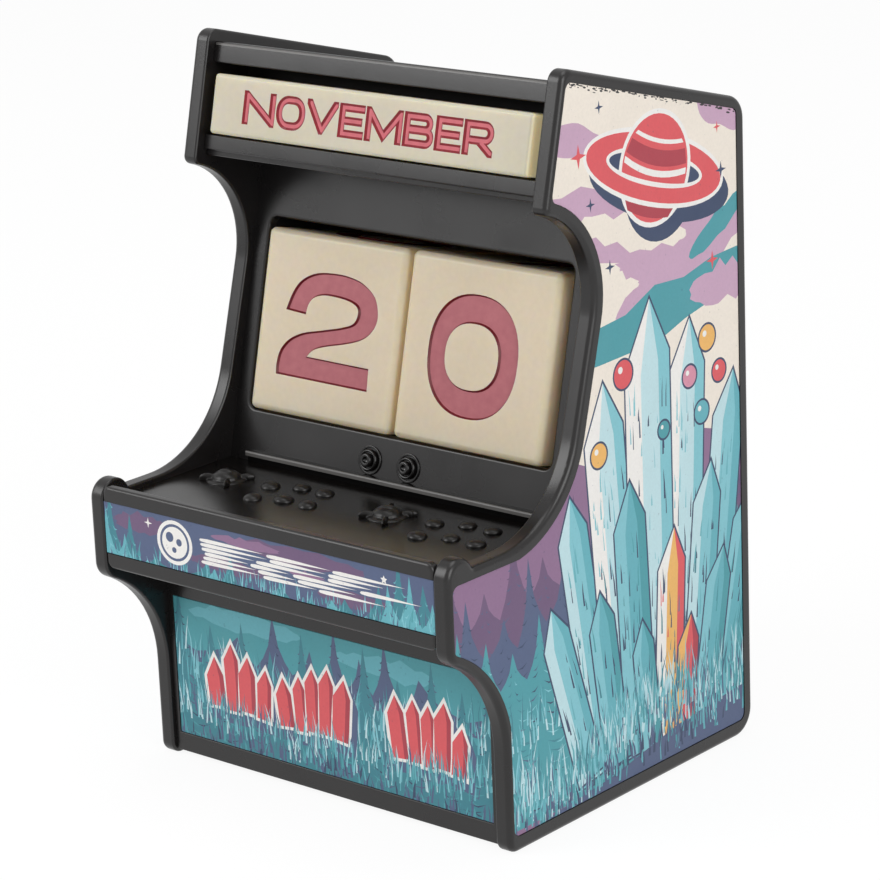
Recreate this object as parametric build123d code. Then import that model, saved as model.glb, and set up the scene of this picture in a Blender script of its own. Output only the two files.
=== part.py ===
from build123d import *
import os
from math import acos, asin, atan2, cos, degrees, hypot, radians, sin

os.makedirs("parts", exist_ok=True)

# A perpetual desk calendar shaped like a small upright cabinet.
# X runs across the cabinet, -Y is its front, +Z is up and the table is z = 0.
# Millimetres and degrees throughout.

# ---------------------------------------------------------------- cabinet
panel_thickness = 3.4        # side panels
plate = 2.0                  # every plate between the side panels
tray_wall = 1.6              # trays and pockets inside
fit = 0.3                    # clearance round everything that slides

# Outline of the side panels, seen from the side
kick_setback = 14.05         # kick panel edge behind the deck nose
kick_hollow = 22.5           # the straight part of that edge ends this far below the apron
kick_radius = 22.5           # hollow between kick and nose
deck_rim = 1.2               # panel edge above the deck's floor
nose_bead = 3.6              # radius of the bead on the tip of the nose
nose_rise = 2.4              # bead above the panel edge
deck_curve_start = 14.85     # where the deck edge starts to climb, behind the nose
deck_radius = 21.5           # hollow between deck and screen
recess_radius = 16.5         # hollow between screen and marquee
recess_start = 77.0          # direction of the marquee's lower corner from its centre
roof_slope = 15.2
corner_top = 2.5
corner_marquee = 1.4
corner_bead = 0.8            # hollow corner behind the bead
corner_nose = 3.4
corner_kick = 2.3
corner_back_low = 5.0
corner_back_high = 4.6
rim_round = 1.1              # outer edges of the side panels
inner_round = 0.5            # their inner edges

# ----------------------------------------------- calendar blocks and screen
lean = 13.8                  # lean of the screen and of the marquee face
cube_size = 34.2
cube_round = 1.2
cube_gap = 1.2               # between the two cubes
screen_height = 64.4         # front lower edge of the cubes above the table
screen_setback = 34.85       # and behind the deck nose
bar_end_gap = 2.2            # between a month bar and the side panels
bar_size = 11.0              # square section of a month bar
bar_round = 0.7
digit_width = 20.7
digit_height = 21.6
digit_stroke = 4.3
digit_depth = 0.4
digit_bend = 3.7             # radius of the bends in a digit's stroke

# Strokes of each digit, in a box one wide and one high
DIGIT_STROKES = {
    "zero": [((0.5, 0), (0, 0), (0, 1), (0.5, 1)), ((0.5, 0), (1, 0), (1, 1), (0.5, 1))],
    "one": [((0.1, 0.7), (0.6, 1), (0.6, 0))],
    "two": [((0, 0.72), (0, 1), (1, 1), (1, 0.53), (0, 0.5), (0, 0), (1, 0))],
    "three": [((0, 0.76), (0, 1), (1, 1), (1, 0.52), (0.35, 0.52)),
              ((0.35, 0.52), (1, 0.52), (1, 0), (0, 0), (0, 0.24))],
    "four": [((0.3, 1), (0, 0.35), (1, 0.35)), ((0.72, 0.8), (0.72, 0))],
    "five": [((1, 1), (0, 1), (0, 0.55), (1, 0.55), (1, 0), (0, 0))],
    "six": [((0.95, 1), (0, 1), (0, 0), (0.5, 0)), ((0.5, 0), (1, 0), (1, 0.56), (0.1, 0.56))],
    "seven": [((0, 1), (1, 1), (0.35, 0))],
    "eight": [((0.5, 0), (0, 0), (0, 0.5), (0.5, 0.5)), ((0.5, 0), (1, 0), (1, 0.5), (0.5, 0.5)),
              ((0.5, 1), (0, 1), (0, 0.5), (0.5, 0.5)), ((0.5, 1), (1, 1), (1, 0.5), (0.5, 0.5))],
}
# The first digit of each cube faces the front.
CUBE_DIGITS = {
    "left": ("two", "three", "four", "five", "zero", "one"),
    "right": ("zero", "six", "seven", "eight", "one", "two"),
}

window_side = 1.4            # gap beside the cubes
bezel_side = 3.3             # bezel between the window and the side panels
window_above = 1.8           # gap above the cubes
window_round = 1.6
window_lip = 0.6             # rounded rim of the window
bezel_setback = 1.6          # bezel behind the cube faces

# ------------------------------------------------------------- the marquee
# Heights are measured along the leaning face from its lower corner.
marquee_overhang = 16.9      # marquee face in front of the cube faces
marquee_gap = 8.3            # its lower corner above the window
rail_setback = 2.0           # rails behind the panel edges
bar_setback = 0.5            # month bar behind the panel edges
rail_low, rail_high = 3.0, 5.8
bar_gap_above = 1.9          # between the month bar and the top rail
top_rail_height = 6.15       # to the panels' top corner
soffit_drop = 1.0            # thin lip under the lower rail
lip_setback = 0.9
roof_step = 2.2              # panel edge above the roof plate
roof_round = 0.7             # its front edge

# -------------------------------------------------------- deck, nose, kick
deck_drop = 10.2             # deck floor below the cubes' front lower edge
ledge_side = 4.9             # side panels to the small ledge where deck and bezel meet
ledge_height = 2.1
ledge_depth = 1.0
ledge_lip = 0.9              # thickness of its overhanging top
ledge_undercut = 0.6         # its front below that lies further back
ledge_round = 0.4            # upper front edge of the lip
deck_tail = 1.0              # deck plate past the foot of the bezel
apron_setback = 0.2
apron_rise = 3.0             # apron above the deck's floor
apron_height = 15.7
apron_corner = 1.5
apron_round = 0.6            # its top lip
kick_plate_setback = 1.0     # kick panel behind the panel edge
floor_gap = 1.0              # kick panel above the table
base_height = 1.2

# ------------------------------------------------------------ printed labels
label_recess = 0.35
label_thickness = 0.2
label_gap = 0.1              # between a label's edge and its recess
rim_front = 1.2              # bare rim round the side label
rim_curve = 2.4
rim_kick = 1.7
rim_deck = 2.0
rim_roof = 2.1
rim_back = 2.65
rim_base = 3.0
label_corner = 1.5
apron_label_drop = 2.8       # below the apron's top
apron_label_height = 10.0
kick_label_low = 4.7
kick_label_drop = 9.4        # below the apron's lower edge
kick_label_side = 1.2        # between the label and the side panels

# ------------------------------------------- controls and the round studs
# Each of the two players has half the width of the deck.
controls_back = 22.6         # middle of the controls, behind the deck nose
stick_offset = -9.9          # joystick, from the middle of a player's half
stick_base_radius, stick_base_height = 4.0, 0.6
stick_knob_radius = 2.1
cluster_offset = 6.8         # buttons
button_radius = 1.7
button_height = 1.0
button_pitch = 5.7
button_row_pitch = 7.0
button_row_shift = 2.0       # back row further to the left
button_thumb_step = 2.3      # first column further forward
button_round = 0.3
button_carrier = 1.0         # thickness of the moulding under the deck
button_carrier_rim = 1.0     # its edge round the outer buttons
stub_radius = 1.2
stub_clearance = 0.05
stud_radii = (2.4, 1.9, 1.6)
stud_step_heights = (0.6, 0.6, 0.5)
stud_pitch = 9.2
stud_shift = -0.4            # middle of the pair, from the middle of the cabinet
stud_drop = 5.25             # stud centres below the cubes' lower edge
stud_dimple = 0.5            # depth of the dish in the top
stud_lip = 0.4               # flat ring round it

# ------------------------------------------------------ back and inside
back_setback = 4.0           # back cover in front of the panels' back edges
pocket_clearance = 1.8       # between the cubes' pocket and the back cover
roof_back_setback = 1.0      # roof plate in front of them
rack_floor = 21.6            # floor of the lower spare bar's compartment
rack_side = 0.6              # gap beside a spare bar
spare_bar_proud = 3.3        # how far it stands out of the cover, to be gripped
rack_headroom = 0.7          # gap above a spare bar
screw_radius = 1.1
screw_length = 8.0
screw_head_radius, screw_head_height = 2.2, 1.4
screw_slot_width, screw_slot_depth = 0.7, 0.7
screw_clearance = 0.2        # cover hole round the screw
pilot_clearance = 0.05
boss_size = 7.0
boss_heights = (12.0, 104.0)

# ------------------------------------------------------------ worked out
sin_l, cos_l = sin(radians(lean)), cos(radians(lean))

# across the cabinet
cube_x = (cube_size + cube_gap) / 2
window_half = cube_size + cube_gap / 2 + window_side
inner = window_half + bezel_side
width = 2 * (inner + panel_thickness)
bar_length = 2 * (inner - bar_end_gap)
rack_half = bar_length / 2 + rack_side
rack_height = fit + bar_size + rack_headroom

# in the leaning screen's own directions
window_top = cube_size + window_above
bezel_back = bezel_setback + plate
pocket_back = cube_size + 2 * fit
rail_front = -marquee_overhang + rail_setback
rail_back = rail_front + plate
bar_front = -marquee_overhang + bar_setback
marquee_rise = window_top + marquee_gap
bar_floor = marquee_rise + rail_high
tray_back = bar_front + bar_size + fit
soffit_top = bar_floor - tray_wall
soffit_low = marquee_rise + rail_low - soffit_drop
opening_high = bar_floor + fit + bar_size + bar_gap_above
marquee_top = opening_high + top_rail_height

# from the front to the back
pocket_reach = (pocket_back + tray_wall) * cos_l + (window_top + tray_wall) * sin_l
depth = screen_setback + pocket_reach + pocket_clearance + plate + back_setback
nose_y, back_y = -depth / 2, depth / 2
kick_y = nose_y + kick_setback
screen_y = nose_y + screen_setback
apron_front = nose_y + apron_setback
apron_back = apron_front + plate
kick_front = kick_y + kick_plate_setback
kick_back = kick_front + plate
controls_y = nose_y + controls_back
cover_outer = back_y - back_setback
cover_inner = cover_outer - plate
rack_front = cover_outer + spare_bar_proud - bar_size - fit

# upwards
deck_floor = screen_height - deck_drop
deck_edge = deck_floor + deck_rim
nose_top = deck_edge + nose_rise
apron_top = deck_floor + apron_rise
apron_bottom = apron_top - apron_height
apron_label_high = apron_top - apron_label_drop
apron_label_low = apron_label_high - apron_label_height
kick_height = apron_bottom - kick_hollow
kick_label_high = apron_bottom - kick_label_drop
base_top = base_height + plate
rack_levels = [rack_floor + i * (rack_height + tray_wall) for i in range(2)]
through = 3 * plate          # length of a cutter for a hole through a plate


def at(back, up):
    """Side-view point (y, z), given behind and above the cubes' front lower edge."""
    return screen_y + back * cos_l + up * sin_l, screen_height - back * sin_l + up * cos_l


def leaning(x, back, up):
    """Location whose Y runs back into the screen and whose Z runs up along it."""
    return Location((x, *at(back, up)), (-lean, 0, 0))


def screen_plane(back, up=0.0):
    """Plane parallel to the screen, with its normal out to the front."""
    return Plane(origin=(0, *at(back, up)), x_dir=(1, 0, 0), z_dir=(0, -cos_l, sin_l))


def cross(p, p_dir, q, q_dir):
    """Where the line through p along p_dir meets the line through q along q_dir."""
    det = p_dir[0] * q_dir[1] - p_dir[1] * q_dir[0]
    k = ((q[0] - p[0]) * q_dir[1] - (q[1] - p[1]) * q_dir[0]) / det
    return p[0] + k * p_dir[0], p[1] + k * p_dir[1]


def on_circle(centre, radius, angle):
    return centre[0] + radius * cos(radians(angle)), centre[1] + radius * sin(radians(angle))


def arc(centre, radius, start, end):
    """Arc from one angle to another, in degrees."""
    return CenterArc((*centre, 0), radius, start, end - start)


def along_x(sketch, x0, x1):
    """A side-view sketch, with Y to its right, extruded from x0 to x1."""
    return extrude(Plane.YZ.offset(x0) * sketch, amount=x1 - x0)


def slab(*points, half=inner):
    """A plate across the cabinet, from the corners of its side view."""
    return along_x(make_face(Polyline(*points, close=True)), -half, half)


def block(x0, x1, y0, y1, z0, z1):
    return Pos((x0 + x1) / 2, (y0 + y1) / 2, (z0 + z1) / 2) * Box(x1 - x0, y1 - y0, z1 - z0)


def leaning_block(half, back0, back1, up0, up1):
    """A block across the cabinet that leans with the screen."""
    middle = leaning(0, (back0 + back1) / 2, (up0 + up1) / 2)
    return middle * Box(2 * half, back1 - back0, up1 - up0)


def save(name, shape):
    export_step(shape, f"parts/{name}.step")


# ------------------------------------------------------------ side panels

marquee_low = at(-marquee_overhang, marquee_rise)
marquee_high = at(-marquee_overhang, marquee_top)
face_dir = (sin_l, cos_l)
roof_dir = (cos(radians(roof_slope)), -sin(radians(roof_slope)))
recess_centre = on_circle(marquee_low, -recess_radius, recess_start)
deck_centre = (nose_y + deck_curve_start, deck_edge + deck_radius)
kick_centre = (kick_y - kick_radius, kick_height)
bead_centre = (nose_y + nose_bead, nose_top - nose_bead)


def on_roof(drop, y):
    """The roof line at y, moved down square to itself."""
    start = (marquee_high[0] + drop * roof_dir[1], marquee_high[1] - drop * roof_dir[0])
    return cross(start, roof_dir, (y, 0.0), (0.0, 1.0))


def side_outline(front, curve, kick, deck, roof, back, base, corner_radii, beaded=False):
    """Side view of a panel with each stretch moved inwards by a rim of its own."""
    recess_r, deck_r, kick_r = recess_radius + curve, deck_radius + curve, kick_radius + kick
    nose_line, kick_line, back_line = nose_y + front, kick_y + front, back_y - back
    deck_line = deck_edge - deck

    # marquee face, from the roof line to the hollow below it
    face = (marquee_low[0] + front * cos_l, marquee_low[1] - front * sin_l)
    top = cross(face, face_dir, on_roof(roof, 0.0), roof_dir)
    ahead = (face[0] - recess_centre[0]) * cos_l - (face[1] - recess_centre[1]) * sin_l
    marquee_angle = degrees(acos(ahead / recess_r)) - lean

    # the straight screen edge touches the hollows above and below it
    between = (recess_centre[0] - deck_centre[0], recess_centre[1] - deck_centre[1])
    screen_angle = degrees(atan2(between[1], between[0]) - acos((deck_r - recess_r) / hypot(*between)))
    deck_angle = degrees(asin(max(-1.0, (deck_line - deck_centre[1]) / deck_r)))

    nose_angle = degrees(acos((nose_line - kick_centre[0]) / kick_r))
    kick_angle = degrees(acos(min(1.0, (kick_line - kick_centre[0]) / kick_r)))

    marquee = on_circle(recess_centre, recess_r, marquee_angle)
    deck_start = on_circle(deck_centre, deck_r, deck_angle)
    nose_low = on_circle(kick_centre, kick_r, nose_angle)
    kick_start = on_circle(kick_centre, kick_r, kick_angle)
    kick_low, back_low = (kick_line, base), (back_line, base)
    back_high = on_roof(roof, back_line)
    if beaded:
        bead_angle = degrees(asin((deck_line - bead_centre[1]) / nose_bead))
        nose_high = on_circle(bead_centre, nose_bead, bead_angle)
        nose = [
            arc(bead_centre, nose_bead, bead_angle, 180),
            Line((nose_line, bead_centre[1]), nose_low),
        ]
    else:
        nose_high = (nose_line, deck_line)
        nose = [Line(nose_high, nose_low)]
    outline = make_face([
        Line(top, marquee),
        arc(recess_centre, recess_r, marquee_angle, screen_angle),
        Line(on_circle(recess_centre, recess_r, screen_angle), on_circle(deck_centre, deck_r, screen_angle)),
        arc(deck_centre, deck_r, screen_angle, deck_angle),
        Line(deck_start, nose_high),
        *nose,
        arc(kick_centre, kick_r, nose_angle, kick_angle),
        Polyline(kick_start, kick_low, back_low, back_high, top),
    ])
    corners = (top, marquee, nose_high, nose_low, kick_low, back_low, back_high)
    for corner, radius in zip(corners, corner_radii):
        outline = fillet(outline.vertices().sort_by_distance((*corner, 0))[0], radius)
    return outline


def label_outline(gap):
    """The side label's recess, made smaller by a gap all round."""
    rims = (rim_front, rim_curve, rim_kick, rim_deck, rim_roof, rim_back, rim_base)
    return side_outline(*(rim + gap for rim in rims), [label_corner - gap] * 7)


def side_panel():
    """The panel on the right, with its label recess and its two screw bosses."""
    corner_radii = (
        corner_top, corner_marquee, corner_bead, corner_nose, corner_kick, corner_back_low, corner_back_high,
    )
    panel = along_x(side_outline(*[0] * 7, corner_radii, beaded=True), inner, width / 2)
    panel = fillet(panel.faces().sort_by(Axis.X)[-1].edges(), rim_round)
    panel = fillet(panel.faces().sort_by(Axis.X)[0].edges(), inner_round)
    panel -= along_x(label_outline(0), width / 2 - label_recess, width / 2 + 1)
    for height in boss_heights:
        half = boss_size / 2
        boss = block(
            inner - boss_size, inner, cover_inner - screw_length, cover_inner, height - half, height + half,
        )
        bore_depth = screw_length - plate + pilot_clearance
        bore = Cylinder(screw_radius + pilot_clearance, 2 * bore_depth)
        panel += boss
        panel -= Pos(inner - half, cover_inner, height) * Rot(X=90) * bore
    return panel


def side_label():
    face_x = width / 2 - label_recess
    return along_x(label_outline(label_gap), face_x, face_x + label_thickness)


for name, shape in (("side_panel", side_panel()), ("side_label", side_label())):
    save(f"{name}_right", shape)
    save(f"{name}_left", mirror(shape, about=Plane.YZ))

# ---------------------------------------------------------------- marquee

rail_foot = at(rail_front, opening_high)
rail_inside = at(rail_back, opening_high)
roof_back = back_y - roof_back_setback
roof_panel = slab(
    rail_foot,
    cross(rail_foot, face_dir, on_roof(roof_step, 0.0), roof_dir),
    on_roof(roof_step, roof_back),
    on_roof(roof_step + plate, roof_back),
    cross(rail_inside, face_dir, on_roof(roof_step + plate, 0.0), roof_dir),
    rail_inside,
)
roof_panel = fillet(roof_panel.edges().filter_by(Axis.X).sort_by(Axis.Z)[-1], roof_round)
save("roof_panel", roof_panel)

save("marquee_soffit", slab(
    at(rail_front, marquee_rise + rail_low),
    at(rail_front, bar_floor),
    at(rail_back, bar_floor),
    at(rail_back, soffit_top),
    at(bezel_setback, soffit_top),
    at(bezel_setback, soffit_low),
    at(rail_front + lip_setback, soffit_low),
    at(rail_front + lip_setback, marquee_rise + rail_low),
))

month_bar_tray = leaning_block(inner, rail_back, tray_back + tray_wall, soffit_top, opening_high + tray_wall)
month_bar_tray -= leaning_block(inner, rail_back, tray_back, bar_floor, opening_high)
save("month_bar_tray", month_bar_tray)

# ------------------------------------------------------ screen and pocket


def bezel_at(back, z):
    """Where a plane parallel to the screen crosses the height z, in the side view."""
    return at(back, (z - screen_height + back * sin_l) / cos_l)


screen_bezel = slab(
    bezel_at(bezel_setback, deck_floor),
    at(bezel_setback, soffit_top),
    at(bezel_back, soffit_top),
    bezel_at(bezel_back, deck_floor),
)
window = RectangleRounded(2 * window_half, window_top + fit, window_round)
window_place = screen_plane(bezel_setback, (window_top - fit) / 2)
screen_bezel -= extrude(window_place * window, amount=-2 * plate)
front_face = screen_bezel.faces().sort_by(Axis((0, 0, 0), (0, -cos_l, sin_l)))[-1]
screen_bezel = fillet(front_face.inner_wires()[0].edges(), window_lip)
stud_places = [
    screen_plane(bezel_setback, -stud_drop) * Pos(stud_shift + side * stud_pitch / 2, 0)
    for side in (-1, 1)
]
for place in stud_places:
    screen_bezel -= place * Cylinder(stub_radius + stub_clearance, through)
save("screen_bezel", screen_bezel)


def screen_stud():
    """Stepped round stud with a dished top, and the stub that holds it in the bezel."""
    stud = Pos(0, 0, -plate / 2) * Cylinder(stub_radius, plate)
    height = 0.0
    for radius, step in zip(stud_radii, stud_step_heights):
        stud += Pos(0, 0, height + step / 2) * Cylinder(radius, step)
        height += step
    dish_radius = stud_radii[-1] - stud_lip
    sphere_radius = (dish_radius**2 + stud_dimple**2) / (2 * stud_dimple)
    return stud - Pos(0, 0, height + sphere_radius - stud_dimple) * Sphere(sphere_radius)


for name, place in zip(("left", "right"), stud_places):
    save(f"screen_stud_{name}", place * screen_stud())

pocket_half = window_half + tray_wall
cube_pocket = leaning_block(
    pocket_half, bezel_back, pocket_back + tray_wall, -fit - tray_wall, window_top + tray_wall,
)
cube_pocket -= leaning_block(window_half, bezel_back, pocket_back, -fit, window_top)
save("cube_pocket", cube_pocket)

# --------------------------------------------------- deck, nose and kick

players = (-inner / 2, inner / 2)
stick_places = [Pos(player + stick_offset, controls_y, deck_floor) for player in players]
cluster_places = [Pos(player + cluster_offset, controls_y, deck_floor) for player in players]
button_places = [
    Pos(
        column * button_pitch - row * button_row_shift,
        row * button_row_pitch - (button_thumb_step if column < 0 else 0.0),
    )
    for row in (-0.5, 0.5) for column in (-1, 0, 1)
]
deck_back = bezel_at(bezel_back, deck_floor)[0] + deck_tail
ledge_front = bezel_at(bezel_setback, deck_floor)[0] - ledge_depth
ledge_top = deck_floor + ledge_height

control_deck = block(-inner, inner, apron_back, deck_back, deck_floor - plate, deck_floor)
ledge = slab(
    (ledge_front + ledge_undercut, deck_floor),
    (ledge_front + ledge_undercut, ledge_top - ledge_lip),
    (ledge_front, ledge_top - ledge_lip),
    (ledge_front, ledge_top),
    bezel_at(bezel_setback, ledge_top),
    bezel_at(bezel_setback, deck_floor),
    half=inner - ledge_side,
)
ledge_edge = ledge.edges().filter_by(Axis.X).group_by(Axis.Z)[-1].sort_by(Axis.Y)[0]
control_deck += fillet(ledge_edge, ledge_round)
for place in stick_places:
    control_deck -= place * Cylinder(stub_radius + stub_clearance, through)
for place in cluster_places:
    for button in button_places:
        control_deck -= place * button * Cylinder(button_radius + stub_clearance, through)
save("control_deck", control_deck)


def joystick():
    """Round base and domed knob moulded as one, on a stub through the deck."""
    stick = Pos(0, 0, -plate / 2) * Cylinder(stub_radius, plate)
    stick += Pos(0, 0, stick_base_height / 2) * Cylinder(stick_base_radius, stick_base_height)
    seated = (Align.CENTER, Align.CENTER, Align.MIN)
    return stick + Pos(0, 0, stick_base_height) * Sphere(stick_knob_radius, arc_size1=0, align=seated)


def button_cluster():
    """Six buttons on one moulding under the deck, which they come up through."""
    margin = button_radius + button_carrier_rim
    reach_x = button_pitch + button_row_shift / 2 + margin
    reach_y = button_row_pitch / 2 + margin
    top = -plate
    cluster = block(-reach_x, reach_x, -reach_y - button_thumb_step, reach_y, top - button_carrier, top)
    for button in button_places:
        shaft = Pos(0, 0, (top + button_height) / 2) * Cylinder(button_radius, button_height - top)
        cluster += button * fillet(shaft.edges().sort_by(Axis.Z)[-1], button_round)
    return cluster


for name, stick_place, cluster_place in zip(("left", "right"), stick_places, cluster_places):
    save(f"joystick_{name}", stick_place * joystick())
    save(f"button_cluster_{name}", cluster_place * button_cluster())

front_apron = block(-inner, inner, apron_front, apron_back, apron_bottom, apron_top)
front_apron = fillet(front_apron.edges().filter_by(Axis.Y), apron_corner)
front_apron = fillet(front_apron.faces().sort_by(Axis.Z)[-1].edges().filter_by(Axis.X), apron_round)
front_apron -= block(
    -width, width, apron_front - 1, apron_front + label_recess, apron_label_low, apron_label_high,
)
save("front_apron", front_apron)

nose_soffit_top = apron_bottom + tray_wall
save("nose_soffit", block(-inner, inner, apron_back, kick_front, apron_bottom, nose_soffit_top))

kick_panel = block(-inner, inner, kick_front, kick_back, floor_gap, nose_soffit_top)
kick_half = inner - kick_label_side
kick_panel -= block(
    -kick_half, kick_half, kick_front - 1, kick_front + label_recess, kick_label_low, kick_label_high,
)
save("kick_panel", kick_panel)


def front_label(half, face_y, low, high):
    """A printed sheet lying in its recess, clear of the recess edges."""
    back = face_y + label_recess
    return block(
        -half + label_gap, half - label_gap, back - label_thickness, back, low + label_gap, high - label_gap,
    )


save("apron_label", front_label(inner, apron_front, apron_label_low, apron_label_high))
save("kick_label", front_label(kick_half, kick_front, kick_label_low, kick_label_high))

# --------------------------------------------------------- base and back

save("base_plate", block(-inner, inner, kick_back, cover_inner, base_height, base_top))

screw_places = [
    Pos(side * (inner - boss_size / 2), cover_outer, height) * Rot(X=90)
    for side in (-1, 1) for height in boss_heights
]
back_cover = slab(
    (cover_inner, base_height),
    (cover_outer, base_height),
    on_roof(roof_step + plate, cover_outer),
    on_roof(roof_step + plate, cover_inner),
)
for level in rack_levels:
    back_cover -= block(-rack_half, rack_half, cover_inner - 1, cover_outer + 1, level, level + rack_height)
for place in screw_places:
    back_cover -= place * Cylinder(screw_radius + screw_clearance, through)
save("back_cover", back_cover)

# Two open-fronted compartments behind the cover, for the month bars not in use.
rack_top = rack_levels[-1] + rack_height + tray_wall
spare_bar_rack = block(-inner, inner, rack_front - tray_wall, cover_inner, rack_floor - tray_wall, rack_top)
for level in rack_levels:
    spare_bar_rack -= block(-rack_half, rack_half, rack_front, cover_inner + 1, level, level + rack_height)
save("spare_bar_rack", spare_bar_rack)


def screw():
    """Slotted screw with its shank down -Z and its head standing on z = 0."""
    shape = Pos(0, 0, -screw_length / 2) * Cylinder(screw_radius, screw_length)
    head = Pos(0, 0, screw_head_height / 2) * Cylinder(screw_head_radius, screw_head_height)
    shape += fillet(head.edges().sort_by(Axis.Z)[-1], screw_head_height / 2)
    slot = Box(3 * screw_head_radius, screw_slot_width, 2 * screw_slot_depth)
    return shape - Pos(0, 0, screw_head_height) * slot


# The screws' heads are outside the cover, with their shanks towards the front.
save("back_cover_screws", Compound([place * Rot(X=180) * screw() for place in screw_places]))

# ------------------------------------------------ date cubes, month bars


def digit_shape(number):
    """The digit's strokes, centred on the origin."""
    span_x, span_y = digit_width - digit_stroke, digit_height - digit_stroke
    shape = Sketch()
    for stroke in DIGIT_STROKES[number]:
        corners = [((x - 0.5) * span_x, (y - 0.5) * span_y) for x, y in stroke]
        line = FilletPolyline(*corners, radius=digit_bend) if len(corners) > 2 else Line(*corners)
        shape += trace(line, digit_stroke)
    return shape


def date_cube(numbers):
    """A cube with a digit sunk into each face: front, right, back, left, top and bottom."""
    faces = [((0, -1, 0), (1, 0, 0)), ((1, 0, 0), (0, 1, 0)), ((0, 1, 0), (-1, 0, 0)),
             ((-1, 0, 0), (0, -1, 0)), ((0, 0, 1), (1, 0, 0)), ((0, 0, -1), (1, 0, 0))]
    cube = Box(cube_size, cube_size, cube_size)
    cube = fillet(cube.edges(), cube_round)
    for number, (normal, right) in zip(numbers, faces):
        face = Plane(origin=Vector(*normal) * cube_size / 2, x_dir=right, z_dir=normal)
        cube -= extrude(face * digit_shape(number), amount=-digit_depth)
    return cube


def month_bar():
    bar = Box(bar_length, bar_size, bar_size)
    return fillet(bar.edges(), bar_round)


half_cube, half_bar = cube_size / 2, bar_size / 2
for name, side in (("left", -1), ("right", 1)):
    save(f"date_cube_{name}", leaning(side * cube_x, half_cube, half_cube) * date_cube(CUBE_DIGITS[name]))
save("month_bar_front", leaning(0, bar_front + half_bar, bar_floor + fit + half_bar) * month_bar())
for name, level in zip(("lower", "upper"), rack_levels):
    middle = Pos(0, rack_front + fit + half_bar, level + fit + half_bar)
    save(f"spare_month_bar_{name}", middle * month_bar())
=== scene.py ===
# %% [markdown]
# # A desk calendar in the shape of a small game cabinet
#
# The cabinet is black plastic, 86 mm wide and 135 mm high. Two ivory cubes behind
# its screen frame show the day and a square ivory bar in its marquee shows the month.
# Its construction comes from a CAD model. This lesson dresses that model: plastics,
# engraved digits and letters, printed labels and the small mouldings on the deck.

# %% Load the frame
import math
import random

import bmesh
import bpy
import numpy as np
from mathutils import Matrix, Vector
from mathutils.geometry import delaunay_2d_cdt


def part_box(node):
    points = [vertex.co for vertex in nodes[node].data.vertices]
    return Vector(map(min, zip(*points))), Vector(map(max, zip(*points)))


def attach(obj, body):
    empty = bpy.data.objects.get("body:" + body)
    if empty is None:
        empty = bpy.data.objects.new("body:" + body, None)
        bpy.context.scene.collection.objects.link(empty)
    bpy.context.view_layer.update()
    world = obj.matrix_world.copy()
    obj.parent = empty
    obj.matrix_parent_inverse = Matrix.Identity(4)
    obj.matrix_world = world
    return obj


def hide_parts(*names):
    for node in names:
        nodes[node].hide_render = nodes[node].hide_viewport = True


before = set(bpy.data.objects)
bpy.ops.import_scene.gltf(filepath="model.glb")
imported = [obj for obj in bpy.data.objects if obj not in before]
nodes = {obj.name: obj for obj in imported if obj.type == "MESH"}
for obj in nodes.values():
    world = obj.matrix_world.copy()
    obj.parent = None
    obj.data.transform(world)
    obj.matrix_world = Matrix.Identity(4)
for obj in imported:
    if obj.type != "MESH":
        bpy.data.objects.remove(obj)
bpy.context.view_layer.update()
MM = 0.001                     # every length below is in millimetres until a mesh is made

# %% [markdown]
# ## The directions of the leaning screen
#
# The screen and the marquee lean back by the same angle. Everything on them is easiest
# to place with three numbers: across, back into the screen, and up along it, counted
# from the front lower edge of the date cubes.

# %% Leaning directions
LEAN = math.radians(13.8)
SCREEN_Y, SCREEN_Z = -8.634, 64.4         # front lower edge of the cubes
LEANING = Matrix.Translation((0, SCREEN_Y, SCREEN_Z)) @ Matrix.Rotation(-LEAN, 4, "X")


def at(x, back, up):
    """A place in the cabinet's own frame, from its place on the leaning screen."""
    return LEANING @ Vector((x, back, up))


print("middle of the screen:", tuple(round(c, 2) for c in at(0, 0, 16.7)))

# %% [markdown]
# ## Camera
#
# A camera could be dragged into place by hand, but then nobody can say where it is. This
# one turns round a point near the cabinet's middle, so its place follows from two angles
# and a distance. A long lens keeps the cabinet's upright edges nearly parallel.

# %% Camera
CAMERA_AZIMUTH, CAMERA_ELEVATION = math.radians(40.87), math.radians(16.72)
CAMERA_ROLL = math.radians(-2.31)
CAMERA_DISTANCE = 632.3
CAMERA_LENS, CAMERA_SENSOR, CAMERA_SHIFT = 140.24, 36.0, (-0.00125, -0.00489)
CAMERA_NEAR, CAMERA_FAR = 0.05, 20        # metres
PIVOT = Vector((0, 0.25, 51.0))
FRAME_OFFSET = (3.30, 10.72)              # the pivot isn't in the middle of the frame


def link_object(name, data):
    """Put a camera, lamp or mesh in the scene as an object at the origin."""
    result = bpy.data.objects.new(name, data)
    bpy.context.scene.collection.objects.link(result)
    return result


def look_from(azimuth, elevation, roll):
    """Right, up and back directions of a camera, for angles about the pivot."""
    back = Vector((math.sin(azimuth) * math.cos(elevation), -math.cos(azimuth) * math.cos(elevation),
                   math.sin(elevation)))
    right = Vector((math.cos(azimuth), math.sin(azimuth), 0))
    up = back.cross(right)
    turned = math.cos(roll) * right + math.sin(roll) * up
    return turned, back.cross(turned), back


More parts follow.
